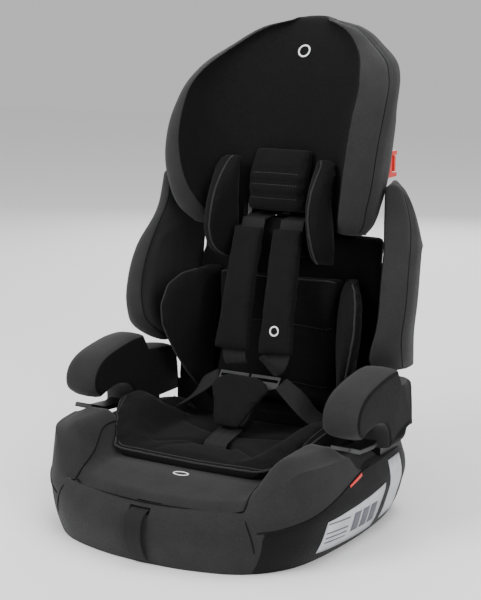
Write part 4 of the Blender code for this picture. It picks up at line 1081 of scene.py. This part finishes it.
def add_labels(cover):
    tree = surface_tree(cover)

    def decal(name, corners, mat, lift, across=10, up=8):
        low_front, low_rear, high_rear, high_front = [Vector(c) for c in corners]
        points = []
        for j in range(up + 1):
            for i in range(across + 1):
                u, v = i / across, j / up
                points.append(low_front.lerp(low_rear, u).lerp(high_front.lerp(high_rear, u), v))
        places, normals = project(tree, points, lift)
        n = len(places)
        under = [p - q * 0.0008 for p, q in zip(places, normals)]
        faces = []
        w = across + 1
        for j in range(up):
            for i in range(across):
                a = j * w + i
                faces += [[a, a + 1, a + 1 + w, a + w], [a + n, a + w + n, a + 1 + w + n, a + 1 + n]]
        edge = (list(range(across)) + [across + j * w for j in range(up)]
                + [up * w + across - i for i in range(across)] + [(up - j) * w for j in range(up)])
        for a, b in zip(edge, edge[1:] + edge[:1]):
            faces.append([a, a + n, b + n, b])
        SEAMS.append((new_piece(name, places + under, faces, MAT[mat]), cover))

    decal("label_side", [(0.21, -0.098, 0.005), (0.21, 0.040, 0.005), (0.23, 0.048, 0.070), (0.23, -0.094, 0.050)],
          "label", 0.0009)
    decal("label_rear", [(0.22, 0.062, 0.006), (0.22, 0.106, 0.006), (0.225, 0.108, 0.096), (0.225, 0.066, 0.096)],
          "label", 0.0009)
    for side, sign in SIDES.items():
        corners = [(sign * 0.23, y, z) for y, z in
                   ((-0.046, 0.0905), (-0.012, 0.0985), (-0.012, 0.1030), (-0.046, 0.0935))]
        decal(f"lap_guide_tab_{side}", corners, "red", 0.0014, 8, 2)
    for k, z in enumerate((0.016, 0.024, 0.032, 0.046)):
        decal(f"label_line_{k}", [(0.22, -0.090, z + 0.002), (0.22, -0.040, z), (0.22, -0.040, z + 0.0022),
                                  (0.22, -0.090, z + 0.0042)], "label_ink", 0.0012, 6, 1)
    for k, y in enumerate((-0.030, -0.008, 0.014)):
        decal(f"label_field_{k}", [(0.22, y, 0.020), (0.22, y + 0.017, 0.020), (0.22, y + 0.017, 0.050),
                                   (0.22, y, 0.050)], "label_ink", 0.0012, 3, 4)


# ---------------------------------------------------------------- armrests
def make_armrests():
    outline = smooth_path(ARM_TOP, 34)
    rest = np.concatenate([smooth_path(ARM_REAR, 16), even_points([ARM_REAR[-1], ARM_UNDER[0]], 12)[1:-1],
                           smooth_path(ARM_UNDER, 16)])
    outline = np.concatenate([outline, rest])
    stations = [(0.0, 0.0070), (0.0, 0.0038), (0.0012, 0.0012), (0.0040, 0.0), (0.012, -0.0016), (0.0265, -0.0024),
                (0.041, -0.0016), (0.0490, 0.0), (0.0518, 0.0012), (0.0530, 0.0038), (0.0530, 0.0070)]
    for side, sign in SIDES.items():
        rings = []
        for x, inset in stations:
            moved = offset_curve(np.concatenate([outline[-2:], outline, outline[:2]]), -inset)[2:-2]
            outer = 1 - 0.34 * smooth_step((moved[:, 0] - 0.09) / 0.07)
            rings.append([(sign * (ARM_IN + x * f), y, z) for (y, z), f in zip(moved, outer)])
        arm = loft(f"armrest_{side}", rings, MAT["grey"], MAT["black"],
                   tone=lambda i, k: 1 if i < 2 or i > 7 else 0)
        for face in arm.data.polygons:
            if len(face.vertices) > 4:
                face.material_index = 1
        carve(arm, arm_pocket(sign, 0.100))
        top = smooth_path(ARM_TOP, 60)
        for label, x in (("inner", ARM_IN + 0.0012), ("outer", ARM_OUT - 0.0012)):
            path = [(sign * x, y, z) for y, z in offset_curve(top, -0.0012)]
            seam(f"armrest_seam_{label}_{side}", arm, path, radius=0.0009, depth=0.0010, width=0.0028)
        finish_piece(arm, "base", f"armrest_cover_{side}", "charcoal_fabric", 0.6)


# ---------------------------------------------------------------- cushions made from the frame's solids
def copy_of(node, name, *mats):
    """A new object with the mesh of a CAD node."""
    mesh = NODES[node].data.copy()
    piece = bpy.data.objects.new(name, mesh)
    bpy.context.scene.collection.objects.link(piece)
    mesh.materials.clear()
    for mat in mats:
        mesh.materials.append(mat)
    for face in mesh.polygons:
        face.material_index = 0
    mesh.name = name
    return piece


def cushion(node, name, mat, cap, voxel):
    piece = copy_of(node, name, MAT[mat])
    inflate(piece, cap, voxel)
    return piece


def make_seat_insert():
    insert = cushion("seat_insert", "seat_cushion", "black", cap=0.0045, voxel=0.0042)
    rim = []
    for t in np.linspace(0, 1, 30):
        y = 0.110 - 0.190 * t
        edge = 0.128 + 0.040 * smooth_step((y + 0.088) / 0.085)
        flare = smooth_step((y + 0.088) / 0.085) * (1 - 0.75 * smooth_step((y - 0.030) / 0.045))
        rim.append((edge - 0.003, y, 0.099 + 0.046 * flare))
    front = [(x, -0.0885, 0.104) for x in np.linspace(0.118, -0.118, 25)]
    around = rim + front + mirror(rim[::-1])
    seam("seat_cushion_piping", insert, smooth_path(around[::3], 160), radius=0.0014, depth=0.0006, lift=0.0004,
         mat="edge", step=0.003)
    inner = [(x * 0.945, min(y + 0.008, 0.108), z + 0.002) for x, y, z in around]
    seam("seat_cushion_piping_inner", insert, smooth_path(inner[::3], 150), radius=0.0009, depth=0.0012,
         mat="edge", step=0.003)
    for k, (half, y0, deep) in enumerate(((0.075, -0.046, 0.034), (0.088, 0.052, -0.030))):
        crescent = [(half * s, y0 + deep * (1 - s * s), 0.104) for s in np.linspace(-1, 1, 25)]
        seam(f"seat_cushion_channel_{k}", insert, crescent, radius=0.0007, depth=0.0026, width=0.0052)
    finish_piece(insert, "base", "seat_insert", "black_fabric", 0.4)


def make_backrest_upholstery():
    """The lining behind the insert, from wing to wing, and its tongue up the column."""
    levels = ((0.1030, 0.108, 0.0105), (0.1042, 0.115, 0.0135), (0.1120, 0.124, 0.0152), (0.1240, 0.146, 0.0155),
              (0.1270, 0.162, 0.0155), (0.1310, 0.1700, 0.0150), (0.1400, 0.1715, 0.0150), (0.1880, 0.1715, 0.0150),
              (0.1925, 0.1690, 0.0150), (0.1955, 0.1500, 0.0155), (0.1970, 0.1465, 0.0155), (0.3200, 0.1465, 0.0155),
              (0.3265, 0.1450, 0.0155), (0.3330, 0.1425, 0.0155), (0.3600, 0.1425, 0.0150), (0.3650, 0.1400, 0.0130),
              (0.3668, 0.1350, 0.0100), (0.3675, 0.0900, 0.0052), (0.4000, 0.0895, 0.0052), (0.5500, 0.0895, 0.0052))
    rings = []
    for z, half, front in levels:
        y = column_y(z)
        section = [(-half, y - 0.0012), (-half, y - front * 0.55), (-half + 0.006, y - front)]
        section += [(x, y - front) for x in np.linspace(-half + 0.02, half - 0.02, 9)]
        section += [(half - 0.006, y - front), (half, y - front * 0.55), (half, y - 0.0012)]
        rings.append([(x, yy, z) for x, yy in section])
    lining = loft("backrest_upholstery", rings, MAT["black"])
    slots = []
    for sign in SIDES.values():
        rings = [[lean_point(sign * SLOT_X + dx, dy, s) for dx, dy in
                  ((-0.024, -0.05), (0.024, -0.05), (0.024, 0.05), (-0.024, 0.05))] for s in (0.3890, 0.4030)]
        slots.append(loft("cutter", rings))
    carve(lining, *slots)
    finish_piece(lining, "backrest", "backrest_pad", "black_fabric", 0.3)


def make_crease_flap():
    """Cloth that closes the crease between the seat and the backrest."""
    rows = []
    for x in np.linspace(-0.165, 0.165, 31):
        rise = 0.029 * smooth_step((abs(x) - 0.100) / 0.028)
        front = [(x, 0.1440, 0.0893), (x, 0.1468, 0.0960), (x, 0.1488, 0.1030), (x, 0.1496, 0.1085 + rise)]
        back = [(x, 0.1512, 0.1088 + rise), (x, 0.1508, 0.1030), (x, 0.1494, 0.0958), (x, 0.1475, 0.0893)]
        rows.append(front + back)
    flap = loft("crease_flap", rows, MAT["black"])
    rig.slot(flap, "black_fabric")
    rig.padded(flap, fill=0.2)
    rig.blend(flap, "base", "backrest", start=(0, 0.146, 0.0893), end=(0, 0.150, 0.1085))


def rim_piping(name, piece, rim, sign, count, radius):
    """Bound edge along a wing-shaped pad's front rim."""
    path = smooth_path([(sign * (x + 0.003), y - 0.001, z) for x, y, z in rim], count)
    seam(name, piece, path, radius=radius, depth=0.0004, lift=0.0005, mat="edge", step=0.003)


def make_back_inserts():
    lower = cushion("back_insert_lower", "back_cushion_lower", "black", cap=0.005, voxel=0.004)
    for k, z in enumerate((0.153, 0.235)):
        y = 0.136 + 0.017 * smooth_step((z - 0.12) / 0.10)
        path = [(x, y, z + 0.004 * (1 - (x / 0.09) ** 2)) for x in np.linspace(-0.092, 0.092, 30)]
        seam(f"back_channel_{k}", lower, path, radius=0.0007, depth=0.0035, width=0.0065)
        stitching(f"back_channel_stitches_{k}", lower, [(x, y, z + 0.0045) for x, y, z in path])
    top = [(x, 0.156, 0.3085) for x in np.linspace(-0.094, 0.094, 30)]
    seam("back_cushion_edge", lower, top, radius=0.0012, depth=0.0004, lift=0.0006, mat="edge")
    finish_piece(lower, "backrest", "back_insert_lower", "black_fabric", 0.5)
    upper = cushion("back_insert_upper", "back_cushion_upper", "black", cap=0.003, voxel=0.0035)
    finish_piece(upper, "backrest", "back_insert_upper", "black_fabric", 0.4)
    make_backrest_upholstery()
    for side, sign in SIDES.items():
        wing = cushion(f"insert_bolster_{side}", f"back_bolster_{side}", "black", cap=0.004, voxel=0.0038)
        rim_piping(f"back_bolster_piping_{side}", wing, BOLSTER_RIM, sign, 60, 0.0013)
        finish_piece(wing, "backrest", f"insert_bolster_{side}", "black_fabric", 0.5)


BOLSTER_RIM = [(0.122, 0.146, 0.312), (0.142, 0.113, 0.303), (0.152, 0.093, 0.277), (0.152, 0.086, 0.243),
               (0.144, 0.091, 0.209), (0.134, 0.103, 0.178), (0.122, 0.120, 0.148), (0.116, 0.132, 0.134)]
PILLOW_RIM = [(0.067, 0.154, 0.478), (0.071, 0.146, 0.470), (0.072, 0.124, 0.450), (0.072, 0.108, 0.428),
              (0.074, 0.100, 0.400), (0.077, 0.102, 0.372), (0.076, 0.116, 0.347), (0.070, 0.140, 0.333)]


def make_head_pillow():
    pillow = cushion("head_pillow", "head_cushion", "black", cap=0.005, voxel=0.0036)
    for k, z in enumerate((0.462, 0.443, 0.424)):
        path = [(x, 0.150, z) for x in np.linspace(-0.041, 0.041, 18)]
        seam(f"head_cushion_channel_{k}", pillow, path, radius=0.0006, depth=0.0034, width=0.0060)
        stitching(f"head_cushion_stitches_{k}", pillow, [(x, 0.150, z - 0.0048) for x, _, z in path[1:-1]])
    finish_piece(pillow, "headrest", "head_pillow", "black_fabric", 0.5)
    for side, sign in SIDES.items():
        wing = cushion(f"head_pillow_wing_{side}", f"head_cushion_wing_{side}", "black",
                       cap=0.004, voxel=0.0034)
        rim_piping(f"head_cushion_piping_{side}", wing, PILLOW_RIM, sign, 50, 0.0014)
        finish_piece(wing, "headrest", f"head_pillow_wing_{side}", "black_fabric", 0.5)


# ---------------------------------------------------------------- harness
BUCKLE = Vector((0.0, 0.047, 0.137))
BUCKLE_TILT = math.radians(50.0)
SLOT_X = 0.031
ALONG = Vector((0, math.cos(BUCKLE_TILT), math.sin(BUCKLE_TILT)))
OUT = Vector((0, -ALONG.z, ALONG.y))
BLEND_START, BLEND_END = (0.0, 0.085, 0.200), (0.0, 0.150, 0.380)


def blended(piece, node, slot, fill=None):
    declare(piece, node, slot, fill,
            lambda part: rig.blend(part, "base", "backrest", start=BLEND_START, end=BLEND_END))


def make_straps():
    foot = BUCKLE - ALONG * 0.0285
    crotch = [foot, (0, -0.002, 0.1090), (0, -0.0150, 0.1045), (0, -0.018, 0.095), (0, -0.018, 0.080),
              (0, -0.018, 0.052)]
    strap = ribbon("crotch_webbing", smooth_path(crotch, 40), 0.0360, "webbing")
    finish_piece(strap, "base", "crotch_strap", "webbing")
    eye_high = BUCKLE + ALONG * 0.0493
    for side, sign in SIDES.items():
        low_x = {"left": -0.028, "right": 0.042}[side]
        top = Vector((sign * SLOT_X, 0.1420, 0.3810))
        low = Vector((low_x, 0.0840, 0.2130))
        eye = eye_high + Vector((sign * 0.0250, 0, 0)) + OUT * 0.0060 + ALONG * 0.0165
        behind = [lean_point(sign * SLOT_X, y, s) for y, s in
                  ((0.0372, 0.288), (0.0362, 0.340), (0.0335, 0.386), (0.0290, 0.394), (-0.008, 0.3965))]
        sag = top.lerp(low, 0.5) + Vector((0, -0.006, 0))
        path = behind + [(sign * SLOT_X, 0.1540, 0.3905), top, sag, low, eye]
        strap = ribbon(f"shoulder_webbing_{side}", smooth_path(path, 110), 0.037, "webbing")
        blended(strap, f"shoulder_strap_{side}", "webbing")

        pad = cushion(f"shoulder_pad_{side}", f"shoulder_cushion_{side}", "soft_black",
                      cap=0.003, voxel=0.0030)
        middle = top.lerp(low, 0.5) + Vector((0, -0.0150, 0))
        ends = top + Vector((0, -0.009, 0.001)), low + Vector((0, -0.009, -0.001))
        centre = smooth_path([ends[0], middle, ends[1]], 40)
        for k, half in enumerate((-0.0225, 0.0225)):
            edge = [(x + half, y, z) for x, y, z in centre]
            seam(f"shoulder_cushion_seam_{side}_{k}", pad, edge, radius=0.0005, depth=0.0010, width=0.0022)
        if side == "right":
            place_mark("pad_mark", pad, centre[31] + np.array((0, -0.01, 0)), (1, 0, 0), (0, 0.35, 0.94),
                       (0.0062, 0.0062, 0.0012))
        blended(pad, f"shoulder_pad_{side}", "black_fabric", 0.5)

        start = eye_high + Vector((sign * 0.0505, 0, 0)) - ALONG * 0.0015
        stations = [(*start, *ALONG, 0.022), (sign * 0.074, 0.0760, 0.157, *ALONG, 0.028),
                    (sign * 0.096, 0.0780, 0.136, 0.0, 0.95, 0.30, 0.034),
                    (sign * 0.1130, 0.0830, 0.123, 0, 1, 0.08, 0.036),
                    (sign * 0.120, 0.0850, 0.104, 0, 1, 0, 0.037), (sign * 0.120, 0.0850, 0.080, 0, 1, 0, 0.037)]
        stations = smooth_path(stations, 40)
        strap = ribbon(f"hip_webbing_{side}", [s[:3] for s in stations], [s[6] for s in stations], "webbing",
                       across=[tuple(s[3:6]) for s in stations])
        finish_piece(strap, "base", f"hip_strap_{side}", "webbing")

    pad = cushion("crotch_pad", "crotch_cushion", "soft_black", cap=0.0025, voxel=0.0028)
    finish_piece(pad, "base", "crotch_pad", "black_fabric", 0.4)
    pull = [(0, 0.214, 0.0150), (0, 0.170, 0.0175), (0, 0.060, 0.0240), (0, -0.060, 0.0300), (0, -0.110, 0.0345),
            (0, -0.1580, 0.0352), (0, -0.1710, 0.0400), (0, -0.1780, 0.0520), (0, -0.1815, 0.0640),
            (0, -0.1900, 0.0690), (0, -0.2040, 0.0690), (0, -0.2150, 0.0600), (0, -0.2180, 0.0400),
            (0, -0.2120, 0.0200), (0, -0.2040, 0.0060)]
    widths = np.interp(np.linspace(0, 14, 120), range(15), [0.032] * 5 + [0.0265] * 10)
    strap = ribbon("adjuster_webbing", smooth_path(pull, 120), list(widths), "strap", thick=0.0016)
    finish_piece(strap, "base", "adjuster_strap", "webbing")
    rear = [lean_point(0, y, s) for y, s in
            ((0.0368, 0.2385), (0.0372, 0.190), (0.0380, 0.120), (0.0360, 0.060))]
    strap = ribbon("yoke_webbing", smooth_path(rear, 40), 0.035, "webbing", thick=0.0016)
    finish_piece(strap, "backrest", "yoke_strap", "webbing")


# ---------------------------------------------------------------- small generic details
def place_mark(name, piece, centre, right, up, size):
    """A plain pale ring on a piece. size is its half width, half height and thickness."""
    right, up = Vector(right).normalized(), Vector(up).normalized()
    ring = [Vector(centre) + right * size[0] * math.cos(a) + up * size[1] * math.sin(a)
            for a in np.linspace(0, 2 * math.pi, 41)]
    places, normals = project(surface_tree(piece), ring, 0.0004)
    cord = tube(f"{name}_0", places, size[2], MAT["mark"], sides=8, squash=0.45, normals=normals)
    SEAMS.append((cord, piece))


NODE_LOOKS = {
    "plastic": ["base_shell", "headrest_shell", "adjuster_housing", "buckle_housing",
                "buckle_tongue_left", "buckle_tongue_right", "lap_belt_guide_left", "lap_belt_guide_right"],
    "grey_plastic": ["headrest_carrier", "height_rack", "height_handle"],
    "red": ["buckle_button", "adjuster_lever", "shoulder_belt_guide_left", "shoulder_belt_guide_right",
            "belt_gate_left", "belt_gate_right"],
    "foam": ["headrest_foam", "torso_wing_foam_left", "torso_wing_foam_right"],
    "steel": ["hinge_rod", "lock_bar", "handle_spring_left", "handle_spring_right", "hip_anchor_left",
              "hip_anchor_right", "crotch_anchor", "harness_yoke", "adjuster_body", "adjuster_spring"],
}


def dress_nodes():
    for look, names in NODE_LOOKS.items():
        for name in names:
            for slot in NODES[name].material_slots:
                slot.material = MAT[look]


def write_size():
    with open("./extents.json", "w") as out:
        json.dump({"cad": [list(map(float, c)) for c in CAD_BOX],
                   "visual": [list(map(float, c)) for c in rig.bounds()]}, out)


add_camera()
add_studio()
make_materials()
dress_nodes()
make_headrest_cover()
make_rounded_shell()
make_torso_wings()
make_base_cover()
make_armrests()
make_seat_insert()
make_crease_flap()
make_back_inserts()
make_head_pillow()
make_straps()
write_size()
